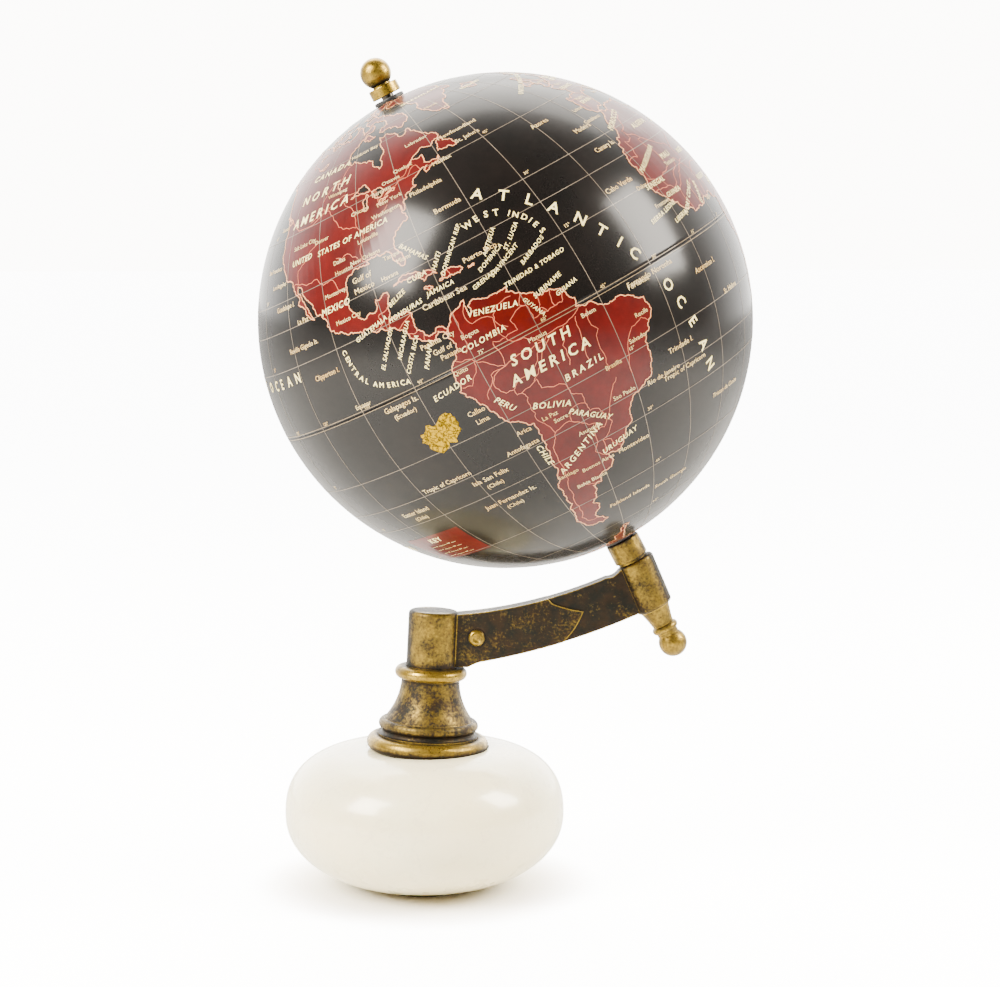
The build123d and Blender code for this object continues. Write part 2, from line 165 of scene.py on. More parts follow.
def aged_brass(name, tarnish, proud=None, mottle=0.25):
    """Antiqued cast brass. Tarnish runs from 0, rubbed bright, to 1, dark, and mottle is its unevenness."""
    crevice, edge_radius, speck_depth = 3 * MM, 0.7 * MM, 0.22
    material, tree, shader = new_material(name, Specular_IOR_Level=0.3)
    geometry = add(tree, "ShaderNodeNewGeometry")
    openness = add(tree, "ShaderNodeAmbientOcclusion", {"Distance": crevice}, samples=8).outputs["AO"]
    rounded = add(tree, "ShaderNodeBevel", {"Radius": edge_radius}, samples=6).outputs["Normal"]
    edge = add(tree, "ShaderNodeVectorMath", {0: rounded, 1: geometry.outputs["Normal"]},
               operation="DOT_PRODUCT").outputs["Value"]
    rubbed_edge = remap(tree, edge, 0.80, 0.99, 1.0, 0.0)
    hollow = remap(tree, openness, 0.35, 0.95, 1.0, 0.0)
    patches = noise(tree, 5 * MM, 5, 0.6)
    specks = noise(tree, 0.7 * MM, 4, 0.7)
    dark = maths(tree, "ADD", maths(tree, "MULTIPLY", hollow, 0.9), tarnish)
    dark = maths(tree, "ADD", dark, remap(tree, patches, 0.3, 0.7, -mottle, mottle))
    dark = maths(tree, "ADD", dark, remap(tree, specks, 0.3, 0.7, -speck_depth, speck_depth))
    if proud is not None:
        dark = maths(tree, "ADD", dark, proud(tree))
    dark = maths(tree, "SUBTRACT", dark, maths(tree, "MULTIPLY", rubbed_edge, 0.7))
    dark = remap(tree, dark, 0.05, 0.95)
    gold = blend(tree, patches, paint("bb9a38"), paint("8f7420"))
    brown = blend(tree, remap(tree, noise(tree, 3 * MM, 4), 0.4, 0.65), paint("24190c"), paint("13130d"))
    grain = remap(tree, specks, 0.3, 0.7, -0.05, 0.07)
    drive(shader, Base_Color=blend(tree, dark, gold, brown), Metallic=remap(tree, dark, 0, 1, 1.0, 0.55),
          Roughness=maths(tree, "ADD", remap(tree, dark, 0, 1, 0.19, 0.56), grain))
    relief = maths(tree, "ADD", maths(tree, "MULTIPLY", specks, 0.5), noise(tree, 3 * MM, 4))
    bump(tree, shader, relief, 0.12 * MM, 0.55)
    return material


pedestal_brass = aged_brass("aged_brass_pedestal", 0.78)
ring_brass = aged_brass("aged_brass_rings", 0.42)
finish_node("pedestal_bell", pedestal_brass)
finish_node("foot_ring", ring_brass)
finish_node("neck_collar", ring_brass)


# ---- Arm ----
# One casting: sleeve, curved web and boss. Two pointed cheek plates are riveted to the web.
# Hands rub the sleeve and the boss, which stand proud, and leave the flat web dark.

def rub_wear_and_painted_sleeve_reflection(tree):
    """Less tarnish the further the surface stands from the flat of the web."""
    coordinates = add(tree, "ShaderNodeTexCoord").outputs["Object"]
    across = add(tree, "ShaderNodeSeparateXYZ", {"Vector": coordinates}).outputs["Y"]
    web_face, boss_face = 2.4 * MM, 4.2 * MM
    # On the round sleeve this also darkens the sides and keeps the front bright: a painted dark reflection
    # besides the wear.
    return remap(tree, maths(tree, "ABSOLUTE", across, 0.0), web_face, boss_face, 0.35, -0.02)


# The arm's mask adds rubbing wear, and a painted dark reflection on the sleeve's sides.
arm_brass = aged_brass("aged_brass_arm", 0.72, rub_wear_and_painted_sleeve_reflection, mottle=0.2)
finish_node("arm_casting", arm_brass)
cheek_brass = aged_brass("aged_brass_cheeks", 0.98, mottle=0.16)
finish_node("arm_cheek_front", cheek_brass)
finish_node("arm_cheek_back", cheek_brass)
bright_brass = aged_brass("polished_brass", 0.42)
finish_node("arm_rivet", bright_brass)


# ---- Rod, ferrule and finials ----
# A plated rod carries the globe. The ferrule, the collar and the two knobs are turned brass
# threaded on it.

def plated_steel(name, light, dark):
    """Zinc plate with fine turning marks, in the light and dark tones it is given: bright where hidden, dark
    as painted shade where it shows.
    """
    material, tree, shader = new_material(name, Metallic=1.0)
    drive(shader, Base_Color=blend(tree, noise(tree, 2 * MM), paint(light), paint(dark)),
          Roughness=remap(tree, noise(tree, 0.5 * MM), 0.3, 0.7, 0.28, 0.42))
    return material


steel = plated_steel("zinc_plate", "b9bcbe", "8f9396")
for name in ("tie_rod", "base_nut", "base_washer"):
    finish_node(name, steel)
# Painted shade: the axis rod gets dark tones to stand for the shade under the upper collar.
finish_node("axis_rod", plated_steel("oiled_dull_zinc", "5a554c", "2e2b26"))
finish_node("lower_ferrule", aged_brass("aged_brass_ferrule", 0.66))
finish_node("lower_finial", aged_brass("aged_brass_finial", 0.58))
for name in ("upper_collar", "upper_finial"):
    finish_node(name, bright_brass)


# ---- Globe ball ----
# Two pressed half shells butted at the equator over a glued hoop, each with a hole for its pole bush.
# The outside is papered with a map printed on charcoal and varnished; the butt joint stays visible.

spin = joints["globe_spin"]
ball_centre = Vector(spin["pos_m"])
ball_radius = 63.5 * MM
north = Vector(spin["axis"]).normalized()
tilt_side = Vector((0, 1, 0)).cross(north).normalized()
map_turn = -25.3
greenwich = Matrix.Rotation(math.radians(map_turn), 3, north) @ tilt_side
globe_axes = Matrix((greenwich, north.cross(greenwich), north)).transposed().to_4x4()
globe_place = Matrix.Translation(ball_centre) @ globe_axes


def on_globe(longitude, latitude, lift=0.0):
    """Point over the ball, in the globe's own axes, from a place in degrees and a height over the paper."""
    east, up = math.radians(longitude), math.radians(latitude)
    reach = ball_radius + lift
    return reach * Vector((math.cos(up) * math.cos(east), math.cos(up) * math.sin(east), math.sin(up)))


def printed_ink(name, light, dark, blot=7 * MM):
    """Offset ink on paper under varnish: a little uneven in tone, with a soft satin gloss on top."""
    material, tree, shader = new_material(name, Roughness=0.6, Coat_Weight=0.42, Coat_Roughness=0.18,
                                          Coat_IOR=1.5, Specular_IOR_Level=0.05)
    tone = remap(tree, noise(tree, blot, 6, 0.7), 0.32, 0.68)
    wave = noise(tree, 5 * MM, 3)
    ripple = add(tree, "ShaderNodeBump", {"Height": wave, "Distance": 0.03 * MM, "Strength": 0.5})
    drive(shader, Base_Color=blend(tree, tone, paint(light), paint(dark)),
          Coat_Normal=ripple.outputs["Normal"])
    return material


def globe_piece(name, mesh, material):
    """Puts a mesh made in the globe's axes on the ball, faces outwards, as one piece of the globe."""
    mesh.transform(globe_place)
    shape = bmesh.new()
    shape.from_mesh(mesh)
    inward = [face for face in shape.faces if face.normal.dot(face.calc_center_median() - ball_centre) < 0]
    bmesh.ops.reverse_faces(shape, faces=inward)
    shape.to_mesh(mesh)
    shape.free()
    mesh.materials.clear()
    mesh.materials.append(material)
    piece = place_object(name, mesh)
    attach(piece, "globe")


def half_shell(name, pole, node):
    """Half shell turned from its wall section, with a chamfered edge at the equator joint."""
    wall, hole, chamfer, turns, rings = 1.6 * MM, 3.0 * MM, 0.12 * MM, 288, 72
    shape = bmesh.new()
    section = []
    for radius, path in ((ball_radius, range(rings + 1)), (ball_radius - wall, range(rings, -1, -1))):
        low = chamfer / radius
        high = math.acos(hole / radius)
        for step in path:
            angle = low + (high - low) * step / rings
            section.append((radius * math.cos(angle), radius * math.sin(angle)))
    section.append((ball_radius - wall, 0.0))
    section.append((ball_radius - chamfer, 0.0))
    corners = [shape.verts.new((across, 0, pole * up)) for across, up in section]
    edges = [shape.edges.new((corners[i - 1], corners[i])) for i in range(len(corners))]
    bmesh.ops.spin(shape, geom=corners + edges, axis=(0, 0, 1), cent=(0, 0, 0), angle=math.tau, steps=turns)
    bmesh.ops.remove_doubles(shape, verts=shape.verts, dist=0.002 * MM)
    bmesh.ops.recalc_face_normals(shape, faces=shape.faces)
    mesh = bpy.data.meshes.new(name)
    shape.to_mesh(mesh)
    shape.free()
    mesh.transform(globe_place)
    for face in mesh.polygons:
        face.use_smooth = True
    mesh.materials.append(ocean_ink)
    piece = place_object(name, mesh)
    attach(piece, "globe")
    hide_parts(node)


ocean_ink = printed_ink("charcoal_ocean_ink", "040302", "0e0907", 14 * MM)
half_shell("north_map_shell", 1, "north_hemisphere")
half_shell("south_map_shell", -1, "south_hemisphere")


# ---- Hoop and bushes ----
# The hoop inside the equator is rolled grey board. The bushes are moulded black plastic.

def plain_finish(name, light, dark, grain, roughness):
    """Plain matt stock with a fine grain, such as board or moulded plastic."""
    material, tree, shader = new_material(name, Roughness=roughness)
    flecks = noise(tree, grain, 4)
    drive(shader, Base_Color=blend(tree, flecks, paint(light), paint(dark)))
    bump(tree, shader, flecks, 0.05 * MM, 0.4)
    return material


finish_node("joint_band", plain_finish("grey_board", "8d7f68", "a39579", 1 * MM, 0.9))
bush_plastic = plain_finish("moulded_black_plastic", "0d0c0c", "1b1917", 1 * MM, 0.5)
for name in ("north_bush", "south_bush"):
    finish_node(name, bush_plastic)


# ---- Lines of the map ----
# Printed straight on the ocean: the 15 degree graticule, the tropics and polar circles, and the
# equator as a pair of brighter lines. Each is a flat ribbon that follows the ball.

def line_tree(name, circles):
    """Ribbon tree. It lays flat ribbons on the ball along the curves of its mesh, or of its circles."""
    ring_points_count, arc_points_count, arc_end = 180, 90, math.radians(86)
    tree = bpy.data.node_groups.new(name, "GeometryNodeTree")
    tree.interface.new_socket("Geometry", in_out="OUTPUT", socket_type="NodeSocketGeometry")
    tree.interface.new_socket("Geometry", in_out="INPUT", socket_type="NodeSocketGeometry")
    for label in ("Radius", "Width", "First Latitude", "Latitude Step"):
        tree.interface.new_socket(label, in_out="INPUT", socket_type="NodeSocketFloat")
    for label in ("Parallels", "Meridians"):
        tree.interface.new_socket(label, in_out="INPUT", socket_type="NodeSocketInt")
    tree.interface.new_socket("Material", in_out="INPUT", socket_type="NodeSocketMaterial")
    given = add(tree, "NodeGroupInput").outputs
    if circles:
        index = add(tree, "GeometryNodeInputIndex").outputs[0]
        latitude = maths(tree, "MULTIPLY_ADD", index, given["Latitude Step"])
        latitude.node.inputs[2].default_value = 0.0
        tree.links.new(given["First Latitude"], latitude.node.inputs[2])
        rise = maths(tree, "MULTIPLY", maths(tree, "SINE", latitude), given["Radius"])
        ring_points = add(tree, "GeometryNodePoints", {
            "Count": given["Parallels"], "Position": add(tree, "ShaderNodeCombineXYZ", {2: rise}).outputs[0]})
        ring = add(tree, "GeometryNodeCurvePrimitiveCircle", {
            "Resolution": ring_points_count, "Radius": given["Radius"]})
        shrink = maths(tree, "COSINE", latitude)
        spread = add(tree, "ShaderNodeCombineXYZ", {0: shrink, 1: shrink, 2: 1.0})
        rings = add(tree, "GeometryNodeInstanceOnPoints", {
            "Points": ring_points.outputs[0], "Instance": ring.outputs["Curve"], "Scale": spread.outputs[0]})
        turn = maths(tree, "DIVIDE", maths(tree, "MULTIPLY", index, math.tau), given["Meridians"])
        arc = add(tree, "GeometryNodeCurveArc", {
            "Resolution": arc_points_count, "Radius": given["Radius"], "Start Angle": -arc_end,
            "Sweep Angle": 2 * arc_end}, mode="RADIUS")
        upright = add(tree, "GeometryNodeTransform", {
            "Geometry": arc.outputs["Curve"], "Rotation": (math.radians(90), 0, 0)})
        arcs = add(tree, "GeometryNodeInstanceOnPoints", {
            "Points": add(tree, "GeometryNodePoints", {"Count": given["Meridians"]}).outputs[0],
            "Instance": upright.outputs[0],
            "Rotation": add(tree, "ShaderNodeCombineXYZ", {2: turn}).outputs[0]})
        joined = add(tree, "GeometryNodeJoinGeometry")
        tree.links.new(rings.outputs[0], joined.inputs[0])
        tree.links.new(arcs.outputs[0], joined.inputs[0])
        curves = add(tree, "GeometryNodeRealizeInstances", {0: joined.outputs[0]}).outputs[0]
    else:
        curves = add(tree, "GeometryNodeMeshToCurve", {"Mesh": given["Geometry"]}).outputs[0]
    outward = add(tree, "ShaderNodeVectorMath", {0: add(tree, "GeometryNodeInputPosition").outputs[0]},
                  operation="NORMALIZE").outputs[0]
    laid = add(tree, "GeometryNodeSetCurveNormal", {"Curve": curves}, mode="FREE")
    tree.links.new(outward, laid.inputs["Normal"])
    half = maths(tree, "MULTIPLY", given["Width"], 0.5)
    ends = [add(tree, "ShaderNodeCombineXYZ", {1: end}).outputs[0]
            for end in (half, maths(tree, "MULTIPLY", half, -1.0))]
    strip = add(tree, "GeometryNodeCurvePrimitiveLine", {"Start": ends[0], "End": ends[1]})
    ribbon = add(tree, "GeometryNodeCurveToMesh", {
        "Curve": laid.outputs[0], "Profile Curve": strip.outputs[0]})
    real = add(tree, "GeometryNodeRealizeInstances", {0: ribbon.outputs[0]})
    inked = add(tree, "GeometryNodeSetMaterial", {"Geometry": real.outputs[0], "Material": given["Material"]})
    add(tree, "NodeGroupOutput", {0: inked.outputs[0]})
    return tree


def run_tree(tree, mesh, **values):
    """Plain mesh that a tree makes of a mesh, with the tree's named inputs set first."""
    carrier = place_object("carrier", mesh)
    modifier = carrier.modifiers.new(tree.name, "NODES")
    modifier.node_group = tree
    for item in tree.interface.items_tree:
        key = item.name.replace(" ", "_")
        if item.in_out == "INPUT" and key in values:
            modifier[item.identifier] = values[key]
    bpy.context.view_layer.update()
    made = bpy.data.meshes.new_from_object(carrier.evaluated_get(bpy.context.evaluated_depsgraph_get()))
    carrier.modifiers.remove(modifier)
    bpy.data.objects.remove(carrier)
    return made


circle_tree = line_tree("lines_round_the_ball", True)
path_tree = line_tree("lines_along_paths", False)
line_ink = printed_ink("grey_line_ink", "7c7061", "5a5145")
circle_sets = (
    ("north_graticule", 15, 15, 5, 24, 0.16, 0.05, line_ink),
    ("south_parallels", 15, -75, 5, 0, 0.16, 0.05, line_ink),
    ("tropics", 46.9, -23.45, 2, 0, 0.16, 0.05, line_ink),
    ("polar_circles", 133.1, -66.55, 2, 0, 0.16, 0.05, line_ink),
    ("equator", 0.8, -0.4, 2, 0, 0.16, 0.06, printed_ink("pale_line_ink", "8c7a5e", "6f5f47")),
)
for name, step, first, parallels, meridians, width, lift, ink in circle_sets:
    lines = run_tree(circle_tree, bpy.data.meshes.new(name), Radius=ball_radius + lift * MM, Width=width * MM,
                     First_Latitude=math.radians(first), Latitude_Step=math.radians(step),
                     Parallels=parallels, Meridians=meridians, Material=ink)
    globe_piece(name, lines, ink)


# ---- Lands ----
# Continents and islands overprinted in deep red, each with a fine gilt coast line.
# Outlines are longitudes and latitudes in degrees, simplified from general geography.

coast_outlines = {
    "north_america": """-168,65.6 -163,67 -166,68.3 -163,69.5 -156.5,71.3 -150,70.5 -141,69.7 -135,69
        -130,70 -127,70 -124,69.4 -120,69.5 -115,68 -109,68 -105,68 -98,68 -95,69.8 -94,72 -90,69 -88,67
        -86,68 -84,69.5 -81.5,69 -81.5,67.5 -86,66.3 -87,65 -90,64 -94,61.5 -94.5,59 -93,57.5 -89,57
        -85,55.3 -82.3,55 -82,53 -80,51.3 -78.8,52 -79,54 -77,56 -78,58.5 -77.5,60.5 -78,62.3 -75,62.2
        -71,61 -69.5,59 -67.5,58.3 -66,59 -64.5,60.3 -62,57.5 -60,55.5 -57,54 -55.8,52.5 -58.5,51.3
        -60.5,50.2 -66,50.2 -68.5,49 -70.5,47.2 -67,48.8 -64.5,49 -64.5,47.5 -65,46.5 -63.5,45.8 -61,45.6
        -60,46.5 -60.5,45.4 -63.5,44.6 -65.7,43.5 -66,44.6 -64.5,45.4 -67,45 -69,44.1 -70.7,43 -70.7,41.9
        -70,41.7 -71.5,41.4 -74,40.6 -74,39.7 -75.3,39.2 -75.2,38 -76,37 -76.4,38.8 -76.6,37 -75.6,35.3
        -77.5,34.4 -79,33.4 -81,32 -81.4,30.5 -80.6,28.3 -80.1,26.8 -80.4,25.3 -81.2,25.3 -82,26.8
        -82.8,28 -82.7,29 -84,30 -85.4,29.7 -86.5,30.4 -88.2,30.3 -89.6,30.2 -89.2,29.2 -90.5,29.2
        -92,29.6 -94,29.6 -95.5,28.8 -97.2,27.5 -97.3,25.5 -97.8,22.5 -97.3,21 -96.2,19.2 -94.7,18.2
        -92.2,18.6 -91,18.8 -90.5,20 -90.3,21.1 -88,21.5 -86.9,21.4 -87.5,19.5 -88,18.3 -88.3,16.5
        -88.7,15.8 -86.5,15.8 -84.2,15.7 -83.2,14.8 -83.6,13 -83.7,11 -82.3,9.3 -81,8.8 -79.7,9.5 -78,9.3
        -77.3,8.4 -77.9,7.3 -78.3,8.3 -79.4,8.9 -80.3,8.2 -80.3,7.4 -81.6,7.6 -82.8,8.2 -83.6,8.5
        -84.8,9.7 -85.8,10.2 -85.8,11.1 -87.2,12.6 -87.9,13.2 -90,13.7 -92.2,14.5 -94,16 -96.3,15.7
        -98.8,16.5 -101.5,17.6 -104,18.9 -105.6,20.3 -105.4,21.5 -107,23.5 -109.3,25.5 -110.5,27.3
        -112.2,29 -113,31 -114.7,31.7 -114.6,30.2 -112.7,28 -111.3,26 -110.5,24.3 -109.5,23 -110.3,23.3
        -112.1,24.8 -112.2,26.1 -114.2,27.2 -115,27.8 -114.2,28.6 -115.7,30.2 -117,32.3 -118.5,34
        -120.6,34.6 -122.4,37.3 -123.7,39 -124.3,40.4 -124.2,43 -124,46 -124.7,48.3 -122.5,48.8 -124,49.8
        -127.5,51.2 -128.5,53 -130.3,54.8 -132,57 -134.5,58.5 -137,58.6 -140,59.7 -144,60 -147,61 -149,60
        -151.8,59.2 -151,61.2 -153.8,59.3 -156,57.5 -158.5,56 -162.5,55 -164.7,54.6 -161,56 -157.6,58.6
        -159,58.5 -162,58.7 -162,60 -165.2,61 -166,61.8 -164.6,63.2 -161,63.6 -161,64.5 -166,64.5""",
    "greenland": """-73,78.2 -68,76 -66,75.8 -60,76 -57,74.5 -55,72.5 -54,70.8 -51,69.6 -53.5,67.5 -53,66
        -52,64 -50,62 -48,61 -44.5,60 -43,60.3 -42,62.5 -40,64.8 -36,66 -32,68 -25,70 -22,71.5 -24,73
        -20,75 -19,77.5 -18,79.5 -12,81.3 -22,82.6 -32,83.4 -45,82.5 -55,82 -62,81.3 -66,80 -69,79""",
    "baffin": """-61.5,66.6 -64.5,63.5 -68,62.3 -71.5,63.6 -74,64.5 -78,64.5 -73,66.5 -73.5,68.3 -79,70
        -89,71.5 -89.5,73.3 -81,73.7 -77,72.7 -71,71 -67,69.3""",
    "ellesmere": "-90,76.5 -80,76.3 -77,78 -75,79.5 -68,80.5 -62,82.5 -70,83.1 -85,82.3 -92,81 -88,78.5",
    "victoria": "-117,71 -118,73 -110,73 -105,73 -101,69.5 -106,69 -113,68.6 -116.5,69.3",
    "banks": "-125,72 -123.5,74.3 -116,73.2 -120,71.4",
    "devon": "-96,75 -90,76.5 -80,75.7 -80,74.7 -91,74.6",
    "prince": "-102,72 -100,73.8 -96,73.3 -97,71.5",
    "melville": "-117,75.5 -108,76.7 -105.5,75.3 -112,74.6",
    "axel": "-95,79.5 -90,80.8 -87,79.5 -92,78.3",
    "southampton": "-87,64 -85,65.8 -80.3,63.8 -84,63",
    "newfoundland": "-59.3,47.7 -57.7,51 -55.8,51.5 -56,50 -53.8,49.5 -53,47 -54.5,46.9 -56,47.5",
    "vancouver": "-128,50.7 -125.5,50.2 -123.4,48.4 -125.5,48.7",
    "cuba": "-84.9,21.9 -83,22.9 -80.5,23.1 -77,21.6 -74.2,20.2 -77.6,19.9 -78,20.8 -81.8,22.1",
    "hispaniola": "-74.4,18.4 -73,19.9 -70,19.7 -68.4,18.6 -70.5,18.3 -72.5,18.2",
    "jamaica": "-78.3,18.3 -77,18.5 -76.3,18 -77.5,17.8",
    "puerto_rico": "-67.2,18.4 -65.7,18.4 -66,18 -67.2,18",
    "south_america": """-77.3,8.4 -76,9.4 -75.5,10.6 -74.5,11.1 -72.5,11.9 -71.4,12.4 -71.9,11.2 -71.7,9.2
        -71.1,9.3 -71.2,10.8 -70,11.5 -68.5,11.2 -66,10.6 -63.8,10.5 -62,10.7 -62.5,9.7 -60.8,8.5
        -58.5,7.3 -57,6 -55,5.9 -52.8,5.2 -51.3,4.2 -50,1.8 -50.7,0 -48.5,-0.8 -47,-0.7 -44.5,-2.6
        -42,-2.8 -39.8,-2.9 -37,-4.8 -35.3,-5.3 -34.8,-7.5 -35.3,-9.3 -37.1,-11.2 -38.6,-13 -39,-15.5
        -39.2,-17.8 -40,-20 -41,-22 -43,-23 -45,-23.7 -47.5,-25 -48.6,-26.5 -48.7,-28.5 -50.2,-30.2
        -52.2,-32.3 -53.5,-34 -55,-34.9 -57.5,-34.4 -58.4,-34 -57.2,-35.5 -56.8,-36.7 -58,-38.2 -62,-38.9
        -62.3,-40.8 -65,-40.8 -64.3,-42.3 -65.3,-43.3 -65.6,-45 -67.5,-46.1 -65.8,-47.6 -67.7,-49.8
        -69,-51 -68.4,-52.4 -66.5,-54 -65.3,-54.7 -68,-55.5 -71,-54.8 -74,-52.8 -75.5,-50 -74.5,-47
        -74.5,-44.5 -73,-43 -73.7,-41 -73.3,-38.5 -73.4,-37 -72,-34.5 -71.6,-32.5 -71.4,-30 -70.7,-27
        -70.4,-23.5 -70.2,-20 -70.4,-18.4 -72.5,-17 -75.5,-15 -76.5,-13.5 -77.5,-11.5 -79,-8.3 -80.5,-6.3
        -81.3,-4.8 -80.3,-3.3 -80.8,-2.2 -80.5,-0.5 -79.8,1 -78.6,1.8 -77.3,3.8 -77.5,5.8 -77.9,7.3""",
    "africa": """-6,35.8 -2,35.2 3,36.8 10,37.3 11,34 15,32.3 20,32.8 20,30.6 25,31.6 31,31.4 34,31.2
        32.5,29.5 35.5,24 37.3,21 37.5,18.5 39.5,15.5 43,12.6 43.3,11.5 51,11.8 48,4.5 44,1.5 41,-2 39,-5
        39.5,-8 40.6,-14 37,-17.5 34.8,-20 35.5,-23.5 32.8,-26 32.8,-28 30.5,-31 26,-33.7 20,-34.8
        18.3,-34 18.2,-32 15.3,-27 14.5,-22.5 12,-17.5 13.7,-12 13,-8.5 12,-5.5 9,-1 9.5,3.8 7,4.4 4.5,6.3
        1,5.9 -2,4.8 -7.5,4.4 -11.5,6.8 -13.3,9 -15,11 -16.8,12.5 -17.4,14.7 -16.3,17 -16.2,19.5 -17,21
        -16,23.7 -14.5,26.2 -13,27.7 -10,29.5 -9.8,31.5 -8.5,33.2 -6.8,34.1""",
    "madagascar": "49.3,-12 50.4,-15.5 47.2,-25 44.5,-25.3 43.5,-22 44.4,-16.5 47.7,-14.5",
    "eurasia": """-5.6,36 -9,37 -9.4,39 -8.9,41.5 -9.2,43.2 -4,43.5 -1.5,43.5 -1.2,45.8 -4.6,48.3
        -1.5,48.7 -1.8,49.7 1.6,50.8 4,51.8 5,53.3 8.5,53.8 8.2,55.5 8.3,57 10.5,57.6 10.3,55.6 11,54
        14,54 18.5,54.7 21,55.3 21.5,57.4 24.3,57.2 23.6,59.2 29.5,60 23,60.2 21.4,61 21.3,63 25.3,65
        22.3,65.8 17.5,62.5 17.3,60.7 18.8,60 16.5,57.5 15.8,56.1 13,55.4 11.3,58.8 10.5,59.3 8,58.1
        5.4,59 5,61.8 10.5,64.5 15,68.3 21,70 27,71 31,70.3 41,67.5 40,66.2 33,66.5 37.5,63.9 40,64.7
        44,66 44,68.5 54,68.5 60,69 66,69 68,68.3 69,72.8 73,72.8 73,68 76,72 81,73.6 87,75 98,76 104,77.7
        113,74 113.5,73.5 127,73 131,71 140,72.5 152,71 160,69.7 170,70 180,68.8 190,66 182,62.8 179,62.4
        170,60 163.5,59.8 162,56 157,51.2 155.7,56 160,60.7 156,61.6 152,59 142,59.3 135.5,54.7 141,53
        140.5,48.5 135.5,44 131,42.8 127.5,39.8 129.3,36.5 126.5,34.4 126.5,37.5 125,39.6 121.5,39
        121.5,40.8 118,39 119,37.3 122.4,37.2 119.3,35 121.8,32 121,28 117,23.7 113.5,22.2 110.2,20.6
        108,21.6 105.8,19 109,13 106.8,10.4 104.8,8.7 105,10.5 102.5,12.2 100.5,13.4 99.3,10 102,6.3
        104,1.4 101.3,3 98.3,8 97.6,16.3 94.3,16 91.8,22.3 87,21.2 82.3,16.5 80.2,15.5 79.8,10.3 77.5,8
        74.5,13.5 72.7,20.7 69,22.3 66.6,25.2 61.6,25.1 57.3,25.7 56.3,27 51.5,27.9 48.2,30 50,26.5
        51.6,24.2 56.2,26 59.8,22.5 55.2,17.7 45,12.8 43.3,13 42.5,16.8 39,21.5 35,28 34.4,31.3 36,35
        36,36.7 31,36.6 27.3,37 26.5,39.5 29,41 35,42 41.5,41.5 37.5,44.8 39,47 35,46.2 33,46 30.7,46.4
        28,43.5 28,41.7 26,40.8 23.8,40 23.8,38 22.5,36.6 21.3,37.8 19.4,41.5 15.3,44.2 13.5,45.6
        12.3,45.2 14,42.5 18.4,40 16.6,39.8 16,38 15.6,40 12.3,41.8 10.3,43.5 8.8,44.4 6.5,43.2 3,43.2
        0.5,40.5 -0.5,38.3 -2,36.8""",
    "britain": """-5.5,50.1 1.3,51.2 1.7,52.7 -0.2,53.6 -1.7,55.5 -3,58.6 -5,58.6 -5.7,56.3 -4.8,54.8
        -3,54 -4.5,53.2 -5,51.8 -3,51.4""",
    "ireland": "-10,52 -6.3,52.2 -6,54.5 -8,55.2 -10,54",
    "iceland": "-24,65.5 -22,66.4 -16,66.5 -13.6,65 -18.5,63.4 -22.5,63.9",
    "svalbard": "11,79 20,80.3 26,79.5 17,76.6",
    "novaya_zemlya": "52,71 56,74.5 68,77 57,72",
    "honshu": "130,31.3 131,34 136,35.7 139.5,38 141.3,41.4 142,39.5 140.8,35.8 137,34.6 133.5,33.5",
    "hokkaido": "140,42 141.8,45.4 145.5,43.3 143,42",
    "sakhalin": "142,46 142.5,54 144.5,49",
    "luzon": "120.5,14 120.7,18.5 122.3,18.3 124,12.7",
    "mindanao": "122,7 125.5,9.7 126.4,7 125,6",
    "borneo": "109,1.5 111,2 115,5 117,7 119,5 117.5,1 116,-4 111.7,-3.3 110,-1.5",
    "sumatra": "95.3,5.5 98,4 103,0 106,-3 105.7,-5.8 102,-4 98.5,1.5",
    "java": "105.3,-6.8 111,-6.4 114.5,-8 108,-7.7",
    "sulawesi": "119.5,-5.5 120,0 125,1.5 120.9,0.2 123,-4.5 120.8,-3",
    "new_guinea": "131,-1 134,-0.8 141,-2.7 147.5,-6 150.5,-10.5 144,-7.7 138,-8.3 133,-4",
    "australia": """113.7,-22 114,-26.5 115.7,-32 115,-34.3 118,-35 124,-33.8 129,-31.6 135.5,-34.8
        138,-33 138.5,-35.5 141,-38.3 146.3,-39 150,-37.3 152.8,-32 153.2,-27 149,-20.6 146,-19 145.3,-15
        142.5,-10.8 141,-17 136.5,-15.7 136.8,-12.2 132,-11.3 129,-15 125,-14.5 122,-18""",
    "tasmania": "144.8,-40.8 148.2,-40.9 147,-43.5",
    "north_new_zealand": "172.8,-34.5 178.3,-37.8 175,-41.5 173.8,-39.3 174.6,-37",
    "south_new_zealand": "172.7,-40.6 174,-41.8 171,-44.3 168.5,-46.6 166.6,-46",
    "antarctica": """-180,-78 -165,-78.3 -150,-76.5 -140,-75 -125,-73.8 -110,-74 -100,-73 -90,-73
        -77,-73.5 -68,-73 -67,-68 -62,-64.5 -57,-63.2 -60,-66 -61,-70 -61,-75 -50,-77.8 -35,-78.2 -27,-76
        -15,-72.7 0,-70 15,-69.8 35,-69 45,-67.5 55,-66 70,-68.5 80,-67.5 95,-66.3 110,-66 125,-66.3
        140,-66.8 155,-69 165,-71 170,-72 165,-77.5 180,-78 180,-86.2 -180,-86.2""",
}
